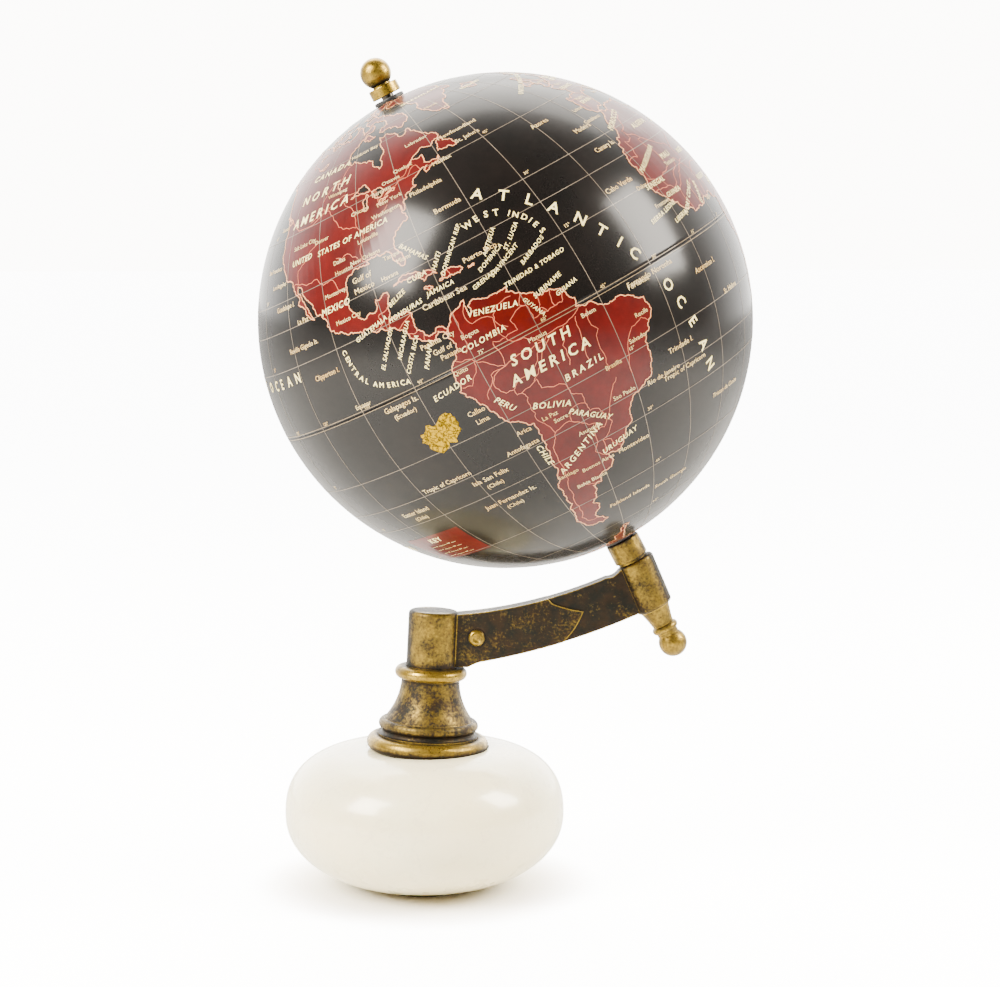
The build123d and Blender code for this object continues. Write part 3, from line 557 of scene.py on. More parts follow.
lake_outlines = {
    "superior": "-92,46.8 -90,47.7 -88.5,48.7 -86,48.7 -84.7,46.6 -87,46.6 -89.5,46.9",
    "michigan": "-87.8,42 -87.7,44.3 -86,45.9 -85.3,45.2 -86.4,43.6 -86.6,41.8",
    "huron": "-84,46 -81,46 -79.9,44.7 -81.7,43.3 -83.4,44 -83.3,45",
    "erie": "-83.3,41.8 -80,42.6 -79,42.8 -81.5,41.6",
    "ontario": "-79.6,43.3 -77,44 -76.3,43.9 -77,43.3",
    "great_bear": "-122,66 -118,66.5 -121,65",
    "great_slave": "-116,61.5 -110,62.6 -113,61",
    "winnipeg": "-98.5,53.5 -97,51 -96.5,52.5",
    "caspian": "47,45 51,47 53,45 51,43 54,41 53.8,37 50,37.5 49,40.5",
    "victoria_nyanza": "31.8,-0.5 34,0.2 33.5,-2.3 32,-2.4",
    "baikal": "104,51.6 109.5,55.5 108.5,53.5",
}


def places(text):
    """List of (longitude, latitude) from words such as '-71.5,41.4'."""
    return [tuple(float(number) for number in word.split(",")) for word in text.split()]


def ragged(path, closed, seed, crinkle, rounds=3):
    """Path with each leg broken, rounds times over, by a seeded sidestep, as a real shore is."""
    chance = random.Random(seed)
    pole_edge, seam_edge = 86, 179.5
    for _ in range(rounds):
        longer = []
        for index in range(len(path) if closed else len(path) - 1):
            (x0, y0), (x1, y1) = path[index], path[(index + 1) % len(path)]
            step = crinkle * chance.uniform(-1, 1)
            at_edge = abs(y0 + y1) / 2 > pole_edge or abs(x0 + x1) / 2 > seam_edge
            step = 0.0 if at_edge else step
            longer.append((x0, y0))
            longer.append(((x0 + x1) / 2 - step * (y1 - y0), (y0 + y1) / 2 + step * (x1 - x0)))
        if not closed:
            longer.append(path[-1])
        path = longer
    return path


def fill(shape, outline, lift, cell=2.5):
    """Adds the filled outline to a mesh, cut in small cells so that it can follow the ball."""
    flat = bmesh.new()
    corners = [flat.verts.new((x, y, 0)) for x, y in outline]
    for triangle in tessellate_polygon([[Vector((x, y, 0)) for x, y in outline]]):
        if len(set(triangle)) == 3:
            flat.faces.new([corners[i] for i in triangle])
    for axis in (0, 1):
        low = min(point[axis] for point in outline)
        high = max(point[axis] for point in outline)
        across = Vector((1, 0, 0)) if axis == 0 else Vector((0, 1, 0))
        for line in range(math.floor(low / cell) + 1, math.ceil(high / cell)):
            everything = flat.verts[:] + flat.edges[:] + flat.faces[:]
            bmesh.ops.bisect_plane(flat, geom=everything, dist=1e-5, plane_co=across * line * cell,
                                   plane_no=across)
    twins = {vert: shape.verts.new(on_globe(vert.co.x, vert.co.y, lift)) for vert in flat.verts}
    for face in flat.faces:
        if face.calc_area() > 1e-9:
            shape.faces.new([twins[vert] for vert in face.verts])
    flat.free()


def trace(shape, path, closed, lift):
    """Adds a line on the ball to a mesh, as edges no longer than a degree and a half."""
    longest_edge = 1.5
    ends = path + path[:1] if closed else path
    corners = []
    for (x0, y0), (x1, y1) in zip(ends, ends[1:]):
        reach = max(abs(x1 - x0) * math.cos(math.radians(y0)), abs(y1 - y0))
        pieces = max(1, math.ceil(reach / longest_edge))
        for piece in range(pieces):
            share = piece / pieces
            corners.append(shape.verts.new(on_globe(x0 + (x1 - x0) * share, y0 + (y1 - y0) * share, lift)))
    if not closed:
        corners.append(shape.verts.new(on_globe(*ends[-1], lift)))
    for start, end in zip(corners, corners[1:] + corners[:1] if closed else corners[1:]):
        shape.edges.new((start, end))


def finished(shape, name):
    """Plain mesh of a bmesh, with its doubles merged."""
    bmesh.ops.remove_doubles(shape, verts=shape.verts, dist=0.001 * MM)
    mesh = bpy.data.meshes.new(name)
    shape.to_mesh(mesh)
    shape.free()
    return mesh


def printed_lines(name, paths, ink, width, lift):
    """Ribbons along open or closed paths, as one piece of the globe."""
    shape = bmesh.new()
    for path, closed in paths:
        trace(shape, path, closed, lift * MM)
    mesh = bpy.data.meshes.new(name + "_paths")
    shape.to_mesh(mesh)
    shape.free()
    globe_piece(name, run_tree(path_tree, mesh, Width=width * MM, Material=ink), ink)


land_ink = printed_ink("deep_red_land_ink", "520602", "3a0301", 9 * MM)
gilt_ink = printed_ink("gilt_coast_ink", "e3a06a", "c9835a")
lands, lakes, shores = bmesh.new(), bmesh.new(), []
lake_seed, course_seed, patch_seed = 90, 200, 700
land_lift, lake_lift = 0.03 * MM, 0.05 * MM
for seed, (name, outline) in enumerate(coast_outlines.items()):
    shore = ragged(places(outline), True, seed, 0.22 if name in ("north_america", "south_america") else 0.26)
    fill(lands, shore, land_lift)
    shores.append((shore, True) if name != "antarctica" else ([p for p in shore if p[1] > -86], False))
for seed, outline in enumerate(lake_outlines.values()):
    shore = ragged(places(outline), True, lake_seed + seed, 0.2)
    fill(lakes, shore, lake_lift)
    shores.append((shore, True))
globe_piece("red_lands", finished(lands, "red_lands"), land_ink)
globe_piece("charcoal_lakes", finished(lakes, "charcoal_lakes"), ocean_ink)
printed_lines("gilt_coasts", shores, gilt_ink, 0.26, 0.07)


# ---- Borders and rivers ----
# Fine pale pink lines overprinted on the lands: the frontiers and the great rivers.
# Each course is a few longitudes and latitudes, and a small seeded wander is added to it.

line_courses = """
    -123,49 -95,49 -89.5,48 -84.5,46.5 -82.5,45.3 -82.5,42 -76,44.3 -74.7,45 -71.5,45 -70,46.5 -67.8,47 -67,45
    -117,32.5 -114.8,32.5 -111,31.3 -106.5,31.5 -104.5,29.5 -102.5,29.7 -101,29.5 -99.2,26.5 -97.2,26
    -95,47 -93,45 -91,43 -91,40 -89.3,37 -91,33 -91,30.5 -89.5,29.3
    -110,46 -104,48 -101,46.5 -98,42.8 -95.5,40 -91,38.8
    -106,40 -110,38 -112,36.5 -114.5,35.5 -114.7,32
    -99,34 -95,33.8 -92,31.5
    -80,40.5 -85,38.3 -89,37
    -115,61.5 -124,63 -128,66 -134,68.5
    -76,44.3 -73.5,45.7 -71,47 -68.5,48.6
    -141,69.6 -141,60.3 -137,59 -134,58.5 -130.5,55
    -105,50 -102,52.5 -98,53.5 -95,56 -93,57
    -92.2,14.5 -90.4,16.2 -91,17.5 -89.2,17.8 -88.3,18.4
    -88.6,15.8 -89.3,14.4 -88,13.5
    -87.4,13 -85.5,14 -83.4,15
    -85.7,11.1 -83.7,10.9
    -82.9,8.1 -82.6,9.5
    -71.8,19.8 -71.8,18
    -71.4,11.9 -72.8,9.5 -72,7 -67.5,6.2 -67.8,3 -67,1.2 -69.8,1.7 -69.6,-0.5 -69.9,-4.2
    -69.9,-4.2 -72.5,-2.4 -75.3,-0.1 -77.5,0.8 -78.8,1.4
    -75.3,-0.1 -76,-2.5 -78.2,-4.8 -80.3,-4.3
    -69.9,-4.2 -73,-5 -73.9,-7.5 -72.5,-9.5 -70.6,-9.6 -70.6,-11 -69.5,-11
    -69.5,-11 -68.8,-12.5 -69.4,-15 -69,-16.5 -69.5,-17.5 -68.4,-19.5 -67.2,-22.8
    -69.5,-11 -65.3,-9.8 -65.2,-12 -60.2,-13.8 -60,-16.2 -57.8,-17.5 -58,-19.8
    -58,-19.8 -61.8,-19.6 -62.6,-22.2 -65,-22.1 -67.2,-22.8
    -67.2,-22.8 -68.5,-25 -69.8,-29.5 -70,-33.5 -71,-37 -71.8,-41.5 -71.7,-45 -73.3,-49.5 -72,-52 -68.5,-52.3
    -58,-19.8 -57.7,-22 -55.6,-22.5 -54.4,-25.5 -56,-27.3 -58.5,-27.3 -57.7,-25.3 -60.5,-23.8 -62.6,-22.2
    -54.4,-25.5 -53.7,-27 -57.6,-30.2 -55.5,-31 -53.4,-33.7
    -57.6,-30.2 -58.4,-33.9
    -60,8.3 -61.3,6 -60,5.2 -59.9,2 -56.5,1.9 -54.6,2.3 -52.9,2.2 -51.7,4.1
    -67,1.2 -64,1.5 -64.5,4 -60,5.2
    -57.2,6 -57.8,3.4 -56.5,1.9
    -54,5.8 -54.6,2.3
    -73.5,-4.5 -70,-4.2 -65,-3.3 -60,-3.2 -55,-2.2 -51.5,-1.2 -50,0
    -66,-10 -63,-7.5 -59,-3.3
    -57.5,-10.5 -57,-6 -55,-2.4
    -53.5,-13 -52.5,-8 -52.3,-3.5 -51.7,-1.8
    -50,-16 -49.5,-12 -48.4,-6.5 -49.5,-3.5 -48.8,-1.5
    -70.5,-9.5 -66,-7.5 -61.5,-4
    -67,1 -65.5,-0.4 -62,-1.5 -60,-3.1
    -76.5,-9 -74,-6 -73.5,-4.5
    -45,-19 -44,-14 -41,-9.8 -38,-9 -36.4,-10.5
    -49,-18 -51.3,-20.5 -54.4,-25.5
    -58.8,-27.5 -60.5,-32 -58.6,-34
    -65.5,3 -67.5,5.5 -66.5,7.6 -62,8.5
    -76,2 -74.7,6 -74.8,10.8
    -69,-39 -65,-40 -63,-41
    -2,35 -1.5,32.5 -5.5,29.8 -8.7,28.7 -8.7,26 -12,26 -12,23.4 -13,21.3 -17,21.3
    -8.7,27.3 -4.8,25 -6.5,24.9 -5.5,16 -9.5,15.4 -12,14.8 -16.4,16.2
    -12,14.8 -11.4,12.4 -13.7,12.6 -16.7,12.4
    -4.8,25 1.5,21 4.3,19.2 12,23.5 10,26.5 9.5,30 7.6,33 8.3,37
    4.3,19.2 4,15.8 0.2,15 -3,13.6 -5.5,11.5 -8,10.2 -11.4,12.4
    -7.5,4.5 -8,10.2
    -3,5 -3,10 -0.2,11 0.5,6
    15,23 24,20 25,22 25,31.5
    25,22 37,22
    31.2,31.4 31,29 32.8,25 31,21.8 33.5,19 32.5,15.6 31.5,9 32,3 33,0
    -10,10 -5,14.5 0,17 4,13 6.5,8 6.3,4.7
    12.5,-6 16,-3 18.5,1 23,2 25.5,-1 27,-6
    15,23 15.5,13.5 14.5,10 13,6.5 8.7,4.7
    2.7,6.4 3.5,11.7 13.5,13.5
    15.5,8 22.5,11 24,15.5 24,20
    14.5,4 18.5,3.5 27.5,5 31,3.8 35,5 41,4
    34,4.5 34,-1 37.7,-3 39,-4.7
    29.5,-1.5 29.5,-8 33,-9.5 34.5,-11.5 40,-10.7
    12.3,-6 17,-8 22,-7 22,-11 24,-11 29,-13 31,-9
    12,-17.3 23.5,-17.7 30.5,-15.7 33,-14 35.5,-17
    21,-18.3 20,-24.8 25.5,-25.5 29.4,-22.2 31.3,-22.4 33,-16.5
    20,-22 20,-28.5 16.5,-28.6
    -1.7,43.3 3,42.5
    -8.8,41.9 -6.5,41.6 -7.3,37.2
    7.5,43.8 7,46 8,49 6,50 2.5,51
    14.3,54 14.8,51 18.8,49.5 22.5,49 23.6,51.5 23.4,54
    28,60 27.5,57 31,53.5 34,51.5 38,49.8 39.5,47
    30,69.5 28.5,66 31,62.5 28,60.5
    11.5,59 12.5,63 18,68.5 25,69
    48,46.5 50,51.5 60,51 70,55 80,51 87,49.2 91,45 96,42.7 105,42 111,45 119.5,46.7 117,49.5 98,52 87,49.2
    119.5,46.7 120,53 127.5,50 131,48 135,48.5 131,43
    73.5,39.5 78.5,34 81,30.3 88,28 97.5,28.3 98,24.5 101,21.5 105.5,23.2 108,21.6
    68.2,23.7 70,28 74.5,31 75,34.5
    36,36.8 42.4,37.2 44.7,39.6 45.5,36 48,30.2
    54,37.4 61,36.6 61,31 63,27 61.6,25.2
    35,29.3 39,32 44.7,29.2 48,29.5
    43,16.5 52,19 55,22.5 51.6,24.2
    53,42 58,42.5 66,37.5 71,37 73.5,39.5
    97.8,17.5 98.5,12
    100.2,20.2 102,18 105.5,15 104,10.5
    105,54 114,60 127,63 125,69 127,72.5
    92,52 90,60 87,67 82,71
    85,53 76,60 66,63.5 70,66.5
    35,57 44,56.3 49,55 46,50 47.5,46
    95,33 99,28 106,29.5 112,30 118,31.5 121.5,31.6
    78,30 85,25.5 89,23
    141,-3 141,-9
    129,-15 129,-31.5
    138,-16.5 138,-26 141,-26 141,-38
    141,-29 153,-28.5
    129,-26 138,-26
"""
border_ink = printed_ink("pale_pink_border_ink", "c96f4e", "a6533a")
courses = [(ragged(places(line), False, course_seed + seed, 0.16, 2), False)
           for seed, line in enumerate(line_courses.split("\n")) if line.strip()]
printed_lines("borders_and_rivers", courses, border_ink, 0.17, 0.06)


# ---- Place names ----
# Common names of the world, each beside the place it names. Lands and oceans are in heavy cream
# capitals, slanted unless they run along a curve. Towns, islands and small seas are in thin letters.

def lettering(shape, text, size, weight, slant, gap, turn, longitude, latitude):
    """Adds one name to a mesh, centred on its place and turned in degrees from the parallel."""
    em_per_size, lift = 1.4, 0.09 * MM
    curve = bpy.data.curves.new("name", "FONT")
    curve.body = text
    curve.align_x = "CENTER"
    curve.align_y = "CENTER"
    curve.size = size * MM * em_per_size
    curve.space_character = gap
    curve.shear = slant
    curve.offset = weight * size * MM
    curve.resolution_u = 2
    carrier = bpy.data.objects.new("name", curve)
    flat = bpy.data.meshes.new_from_object(carrier)
    flat.transform(Matrix.Rotation(math.radians(turn), 4, "Z"))
    for vert in flat.vertices:
        north_by = math.degrees(vert.co.y / ball_radius)
        east_by = math.degrees(vert.co.x / ball_radius) / math.cos(math.radians(latitude + north_by))
        vert.co = on_globe(longitude + east_by, latitude + north_by, lift)
    shape.from_mesh(flat)
    bpy.data.meshes.remove(flat)
    bpy.data.objects.remove(carrier)
    bpy.data.curves.remove(curve)


def along(shape, text, route, size):
    """Adds one name letter by letter on a smooth curve through the places of its route."""
    weight, slant, steps_per_leg = 0.025, 0.0, 24
    ends = [route[0], *route, route[-1]]
    samples = []
    for a, b, c, d in zip(ends, ends[1:], ends[2:], ends[3:]):
        for step in range(steps_per_leg):
            t = step / steps_per_leg
            shares = (-t + 2 * t ** 2 - t ** 3, 2 - 5 * t ** 2 + 3 * t ** 3,
                      t + 4 * t ** 2 - 3 * t ** 3, t ** 3 - t ** 2)
            samples.append([sum(share * place[i] / 2 for share, place in zip(shares, (a, b, c, d)))
                            for i in (0, 1)])
    samples.append(route[-1])
    run = [0.0]
    for (x0, y0), (x1, y1) in zip(samples, samples[1:]):
        run.append(run[-1] + math.hypot((x1 - x0) * math.cos(math.radians(y0)), y1 - y0))
    widths = {"I": 0.55, " ": 0.7, "W": 1.25, "M": 1.2}
    steps = [(widths.get(a, 1.0) + widths.get(b, 1.0)) / 2 for a, b in zip(text, text[1:])]
    for number, letter in enumerate(text):
        goal = run[-1] * sum(steps[:number]) / sum(steps)
        index = max(i for i in range(len(run) - 1) if run[i] <= goal)
        (x0, y0), (x1, y1) = samples[index], samples[index + 1]
        turn = math.degrees(math.atan2(y1 - y0, (x1 - x0) * math.cos(math.radians(y0))))
        if letter != " ":
            lettering(shape, letter, size, weight, slant, 1.0, turn, x0, y0)


heavy_names = (
    (3.1, 1.45, "NORTH", -106, 53, 0), (3.1, 1.35, "AMERICA", -107, 47.5, 0),
    (3.1, 1.35, "SOUTH", -61.5, -4, 0), (3.1, 1.35, "AMERICA", -61, -8, 0), (3.0, 1.5, "AFRICA", 20, 8, 0),
    (3.0, 1.4, "EUROPE", 20, 52, 0), (3.2, 1.8, "ASIA", 90, 47, 0), (2.8, 1.3, "AUSTRALIA", 134, -24, 0),
    (2.6, 1.8, "ANTARCTICA", 60, -76, 0), (2.2, 1.2, "CANADA", -105, 58.5, 0),
    (1.8, 1.0, "UNITED", -113, 37.5, 0), (1.8, 1.0, "STATES OF AMERICA", -93.5, 37, 0),
    (2.0, 1.0, "MEXICO", -102, 23.5, 0), (1.5, 1.1, "GREENLAND", -42, 73, 0),
    (1.5, 1.0, "ALASKA", -153, 65, 0), (1.6, 1.0, "CUBA", -79, 21.5, 0),
    (1.4, 1.0, "BAHAMAS", -77.5, 27, -50), (1.4, 1.0, "HAITI", -73.2, 22.6, 50),
    (1.3, 1.0, "DOMINICAN REP.", -69, 23.5, 48), (1.3, 1.0, "ANTIGUA", -60.5, 21, 45),
    (1.3, 1.0, "DOMINICA", -62, 17.7, 24), (1.3, 1.0, "ST. LUCIA", -55.5, 19.8, 40),
    (1.3, 1.0, "ST. VINCENT", -59.5, 15.8, 24), (1.3, 1.0, "GRENADA", -65, 14.2, 12),
    (1.3, 1.0, "BARBADOS", -53, 14.9, 24), (1.3, 1.0, "TRINIDAD & TOBAGO", -54.5, 11.4, 4),
    (1.4, 1.0, "GUATEMALA", -94, 15.6, 12), (1.4, 1.0, "BELIZE", -85.3, 19.2, 20),
    (1.4, 1.0, "JAMAICA", -75, 16.9, 0), (1.4, 1.0, "HONDURAS", -84.5, 15.9, 6),
    (1.3, 1.0, "EL SALVADOR", -92, 10.3, 52), (1.3, 1.0, "NICARAGUA", -87.5, 10.4, 52),
    (1.3, 1.0, "COSTA RICA", -87, 6.8, 50), (1.4, 1.0, "PANAMA", -83.6, 5.3, 55),
    (1.7, 1.05, "VENEZUELA", -66.8, 7.8, -14), (1.7, 1.1, "COLOMBIA", -71.5, 3, 2),
    (1.7, 1.1, "ECUADOR", -82.5, -3.4, 6), (1.2, 1.0, "GUYANA", -58.7, 4.2, -64),
    (1.4, 1.0, "SURINAME", -54, 6.8, 14), (1.3, 1.0, "GUIANA", -50.5, 4.6, 10),
    (2.0, 1.35, "BRAZIL", -55, -12.5, 4), (1.9, 1.05, "BOLIVIA", -65, -16.5, -24),
    (1.8, 1.0, "PERU", -74, -11.5, -55), (1.7, 1.0, "PARAGUAY", -58, -22.8, -38),
    (2.0, 1.15, "ARGENTINA", -63.5, -29.5, 30), (1.7, 1.0, "URUGUAY", -53.5, -32.5, 10),
    (1.8, 1.05, "CHILE", -72, -26.5, -85), (1.8, 1.0, "MOROCCO", -6, 32, 20),
    (1.9, 1.1, "ALGERIA", 2.5, 28, 0), (1.7, 1.0, "MAURITANIA", -10.5, 20, 20),
    (1.9, 1.1, "MALI", -2.5, 18.5, 0), (1.7, 1.0, "NIGER", 9, 17.5, 0), (1.9, 1.1, "LIBYA", 17.5, 27, 0),
    (1.9, 1.1, "EGYPT", 29.5, 26.5, 0), (1.9, 1.1, "SUDAN", 30, 14, 0), (1.7, 1.0, "CHAD", 18.5, 15, 0),
    (1.6, 1.0, "SENEGAL", -14.8, 14.3, 0), (1.5, 1.0, "GUINEA", -11, 10.6, 0),
    (1.4, 1.0, "SIERRA LEONE", -18.5, 8, 8), (1.4, 1.0, "LIBERIA", -14, 5.2, 8),
    (1.5, 1.0, "IVORY COAST", -7, 7.7, 30), (1.5, 1.0, "GHANA", -1, 7.5, 60),
    (1.7, 1.0, "NIGERIA", 8, 10, 0), (1.6, 1.0, "CONGO", 23, -3, 0), (1.6, 1.0, "ANGOLA", 17.5, -12, 0),
    (1.5, 1.0, "KENYA", 38, 1, 0), (1.6, 1.0, "TANZANIA", 34.5, -6, 0), (1.5, 1.0, "ZAMBIA", 27, -14.5, 0),
    (1.6, 1.0, "NAMIBIA", 17, -21, 0), (1.5, 1.0, "BOTSWANA", 24, -22, 0),
    (1.7, 1.0, "SOUTH AFRICA", 24, -30, 0), (1.6, 1.0, "ETHIOPIA", 39.5, 8.5, 0),
    (1.6, 1.0, "MADAGASCAR", 47, -19, 70), (1.6, 1.0, "SPAIN", -4, 40, 0),
    (1.6, 1.0, "FRANCE", 2.5, 46.5, 0), (1.4, 1.0, "GERMANY", 11, 50.7, 0),
    (1.5, 1.0, "ITALY", 14, 42.8, -40), (1.4, 1.0, "POLAND", 19, 53, 0), (1.5, 1.0, "UKRAINE", 31, 49, 0),
    (1.6, 1.0, "TURKEY", 34, 39, 0), (1.5, 1.0, "SWEDEN", 15, 61, 70), (1.5, 1.0, "NORWAY", 8.5, 61, 55),
    (1.5, 1.0, "FINLAND", 26, 63, 60), (1.5, 1.0, "UNITED KINGDOM", -8, 55, 30),
    (1.4, 1.0, "ICELAND", -19, 65, 0), (3.0, 2.2, "RUSSIA", 95, 61, 0),
    (1.9, 1.2, "KAZAKHSTAN", 67, 48.5, 0), (1.8, 1.4, "MONGOLIA", 103, 46.6, 0),
    (2.6, 2.0, "CHINA", 104, 35, 0), (2.2, 1.4, "INDIA", 78, 22, 0), (1.9, 1.2, "IRAN", 54, 32.5, 0),
    (1.7, 1.0, "IRAQ", 43.5, 33, 0), (1.8, 1.1, "SAUDI ARABIA", 45.5, 24, 0),
    (1.6, 1.0, "PAKISTAN", 66.5, 28, 35), (1.5, 1.0, "JAPAN", 141, 36.5, 45),
    (1.5, 1.0, "THAILAND", 101, 15.5, 0), (1.5, 1.0, "VIETNAM", 109.5, 14, -80),
    (1.5, 1.0, "PHILIPPINES", 127, 12.5, -70), (1.8, 1.4, "INDONESIA", 115, -3, 0),
    (1.5, 1.0, "NEW ZEALAND", 171, -42, 50),
)
thin_names = (
    (1.15, "Los Angeles", -125, 34), (1.15, "San Francisco", -129, 38), (1.15, "Seattle", -127, 47.6),
    (1.15, "Salt Lake City", -112, 41), (1.15, "Chicago", -89, 42.4), (1.15, "New York", -79, 41.5),
    (1.15, "Washington", -81, 39), (1.15, "Louisville", -88, 35), (1.15, "Denver", -104, 40),
    (1.15, "Dallas", -98, 33), (1.15, "New Orleans", -90, 31), (1.15, "Houston", -97, 30.5),
    (1.15, "Miami", -80.3, 26.6), (1.15, "Tampa", -83, 28.5), (1.15, "Monterrey", -101, 26.5),
    (1.15, "Mexico City", -99, 20), (1.3, "La Paz", -114, 24), (1.3, "Guadalupe I.", -121.5, 28.5),
    (1.3, "Revilla Gigedo Is.", -116, 18.5), (1.3, "Clipperton I.", -110.5, 10.8),
    (1.3, "Philadelphia", -68, 39.8), (1.3, "Halifax", -60, 44.6), (1.3, "St. John's", -48.5, 47.5),
    (1.3, "Newfoundland", -49.5, 51), (1.15, "Quebec", -72, 48), (1.15, "Ottawa", -77, 46.3),
    (1.15, "Toronto", -81, 44.6), (1.15, "Winnipeg", -98, 50.5), (1.15, "Hudson Bay", -86, 59.5),
    (1.15, "Labrador", -64, 54), (1.15, "Anchorage", -150, 62), (1.15, "Nuuk", -48, 64.5),
    (1.4, "Bermuda", -65, 33), (1.45, "Gulf of", -92.3, 27), (1.45, "Mexico", -92.3, 24.6),
    (1.15, "Havana", -85, 24.4), (1.45, "Caribbean Sea", -75, 14.6), (1.3, "Puerto Rico", -63.5, 19.8),
    (1.15, "Bogota", -73.5, 5.3), (1.15, "Quito", -79, -0.9), (1.3, "Panama City", -80.5, 7.2),
    (1.3, "Gulf of", -80.3, 5), (1.3, "Panama", -79, 3.4), (1.4, "Galapagos Is.", -95, -1.8),
    (1.2, "(Ecuador)", -95, -3.9), (1.15, "Equator", -104, 1.5), (1.3, "Callao", -80.3, -10.2),
    (1.3, "Lima", -80, -12.5), (1.3, "Arica", -73.3, -19), (1.3, "Antofagasta", -75.5, -22.4),
    (1.15, "Manaus", -61, -1.8), (1.15, "Belem", -48.8, -2.5), (1.3, "Fortaleza", -35, -2.2),
    (1.15, "Recife", -37.5, -8.2), (1.15, "Salvador", -40.5, -12.6), (1.15, "Brasilia", -48.5, -15.2),
    (1.15, "Sao Paulo", -48.5, -22.4), (1.3, "Rio de Janeiro", -37, -23.3), (1.15, "La Paz", -66.5, -18.6),
    (1.15, "Sucre", -64.5, -20.3), (1.15, "Asuncion", -59.5, -26), (1.15, "Buenos Aires", -61, -35.3),
    (1.15, "Santiago", -69.4, -34.2), (1.3, "Montevideo", -50, -35.3), (1.15, "Bahia Blanca", -64.5, -39),
    (1.4, "Easter Island", -112, -26.5), (1.2, "(Chile)", -112, -28.6),
    (1.4, "Isla San Felix", -86.5, -25.6), (1.2, "(Chile)", -86.5, -27.8),
    (1.4, "Juan Fernandez Is.", -86, -33), (1.2, "(Chile)", -86, -35.2),
    (1.3, "Tropic of Capricorn", -97, -22.4), (1.3, "Falkland Islands", -55, -50.7),
    (1.3, "South Georgia", -36.5, -53), (1.3, "Tristan da Cunha", -13, -36),
    (1.4, "Trindade I.", -30, -19.3), (1.3, "Tropic of Capricorn", -30, -24.6),
    (1.4, "Ascension I.", -14, -6.8), (1.4, "St. Helena", -6, -14.5), (1.4, "Fernando Noronha", -31, -1.8),
    (1.4, "Cabo Verde", -25, 18), (1.4, "Azores", -28, 40.6), (1.4, "Madeira", -19, 34),
    (1.4, "Canary Is.", -19, 27.4), (1.15, "Dakar", -19.5, 15.2), (1.15, "Freetown", -17, 9.8),
    (1.15, "Casablanca", -12.5, 34.8), (1.15, "Timbuktu", -3, 16.6), (1.15, "Lagos", 3, 5.3),
    (1.15, "Cairo", 30, 29), (1.15, "Cape Town", 14.5, -35.5), (1.15, "Nairobi", 38, -1),
    (1.15, "Lisbon", -12, 39), (1.15, "Madrid", -4, 41.5), (1.15, "Paris", 2, 48.5),
    (1.15, "London", -1, 52.2), (1.15, "Rome", 9.5, 41), (1.15, "Berlin", 13, 52.6),
    (1.15, "Moscow", 38, 56), (1.15, "Athens", 21, 37), (1.15, "Baghdad", 44.5, 31.5),
    (1.15, "Delhi", 77, 28.5), (1.15, "Mumbai", 69, 19), (1.3, "Bay of Bengal", 88.5, 14),
    (1.3, "Arabian Sea", 63, 16), (1.15, "Beijing", 116, 40.5), (1.15, "Shanghai", 124.5, 31),
    (1.15, "Tokyo", 143.5, 34.5), (1.15, "Seoul", 127, 37.2), (1.15, "Bangkok", 101, 13.2),
    (1.15, "Singapore", 106, 1.8), (1.15, "Jakarta", 104, -7.8), (1.3, "Hawaii", -157, 21),
    (1.3, "Tahiti", -149, -17), (1.3, "Fiji", 179, -17), (1.15, "Perth", 111.5, -32),
    (1.15, "Sydney", 155, -33.5), (1.15, "Melbourne", 146, -39.5), (1.3, "Coral Sea", 154, -15),
    (1.3, "Tasman Sea", 160, -38),
)
arched_names = (
    (2.9, "ATLANTIC OCEAN", ((-57, 32), (-47, 25), (-37, 12), (-28, -6), (-21, -28))),
    (1.7, "WEST", ((-63, 26.5), (-59, 27), (-55.5, 26))),
    (1.5, "INDIES", ((-53, 24.5), (-50, 21.5), (-48.6, 17.5))),
    (1.3, "CENTRAL AMERICA", ((-103, 13.5), (-101.5, 7.5), (-97, 3.8), (-90.5, 2))),
    (2.6, "PACIFIC OCEAN", ((-168, 19), (-148, 13), (-121, 12.5))),
    (3.2, "PACIFIC OCEAN", ((150, 8), (175, 3), (200, 5))),
    (2.9, "INDIAN OCEAN", ((60, -22), (80, -26), (105, -24))),
    (2.4, "ARCTIC OCEAN", ((130, 79), (170, 80), (210, 79))),
    (2.6, "SOUTH PACIFIC OCEAN", ((-178, -33), (-158, -38), (-137, -38))),
    (2.4, "SOUTHERN OCEAN", ((20, -56), (60, -58), (100, -57))),
)
cream_ink = printed_ink("cream_letter_ink", "f5e6a4", "e6cf84")
thin_ink = printed_ink("thin_letter_ink", "d8c795", "c59a4e")
heavy_letters, thin_letters = bmesh.new(), bmesh.new()
heavy_size, heavy_slant, heavy_gap, degree_size = 0.84, 0.22, 1.12, 0.9
for size, gap, text, longitude, latitude, turn in heavy_names:
    weight = 0.024 if size > 2 else 0.015
    lettering(heavy_letters, text, heavy_size * size, weight, heavy_slant, heavy_gap * gap, turn,
              longitude, latitude)
for size, text, route in arched_names:
    along(heavy_letters, text, route, size)
for size, text, longitude, latitude in thin_names:
    lettering(thin_letters, text, size, 0.006, 0.0, 1.0, 0, longitude, latitude)
for meridian in range(-180, 180, 15):
    lettering(thin_letters, f"{abs(meridian)}°", degree_size, 0.0, 0.0, 1.0, 0, meridian + 2, 0.9)
for parallel in (15, 30, 45, 60):
    for meridian in (-135, -45, 45, 135):
        for latitude in (parallel + 1, -parallel + 1):
            lettering(thin_letters, f"{parallel}°", degree_size, 0.0, 0.0, 1.0, 0, meridian + 2, latitude)
globe_piece("heavy_names", finished(heavy_letters, "heavy_names"), cream_ink)
globe_piece("thin_names", finished(thin_letters, "thin_names"), thin_ink)


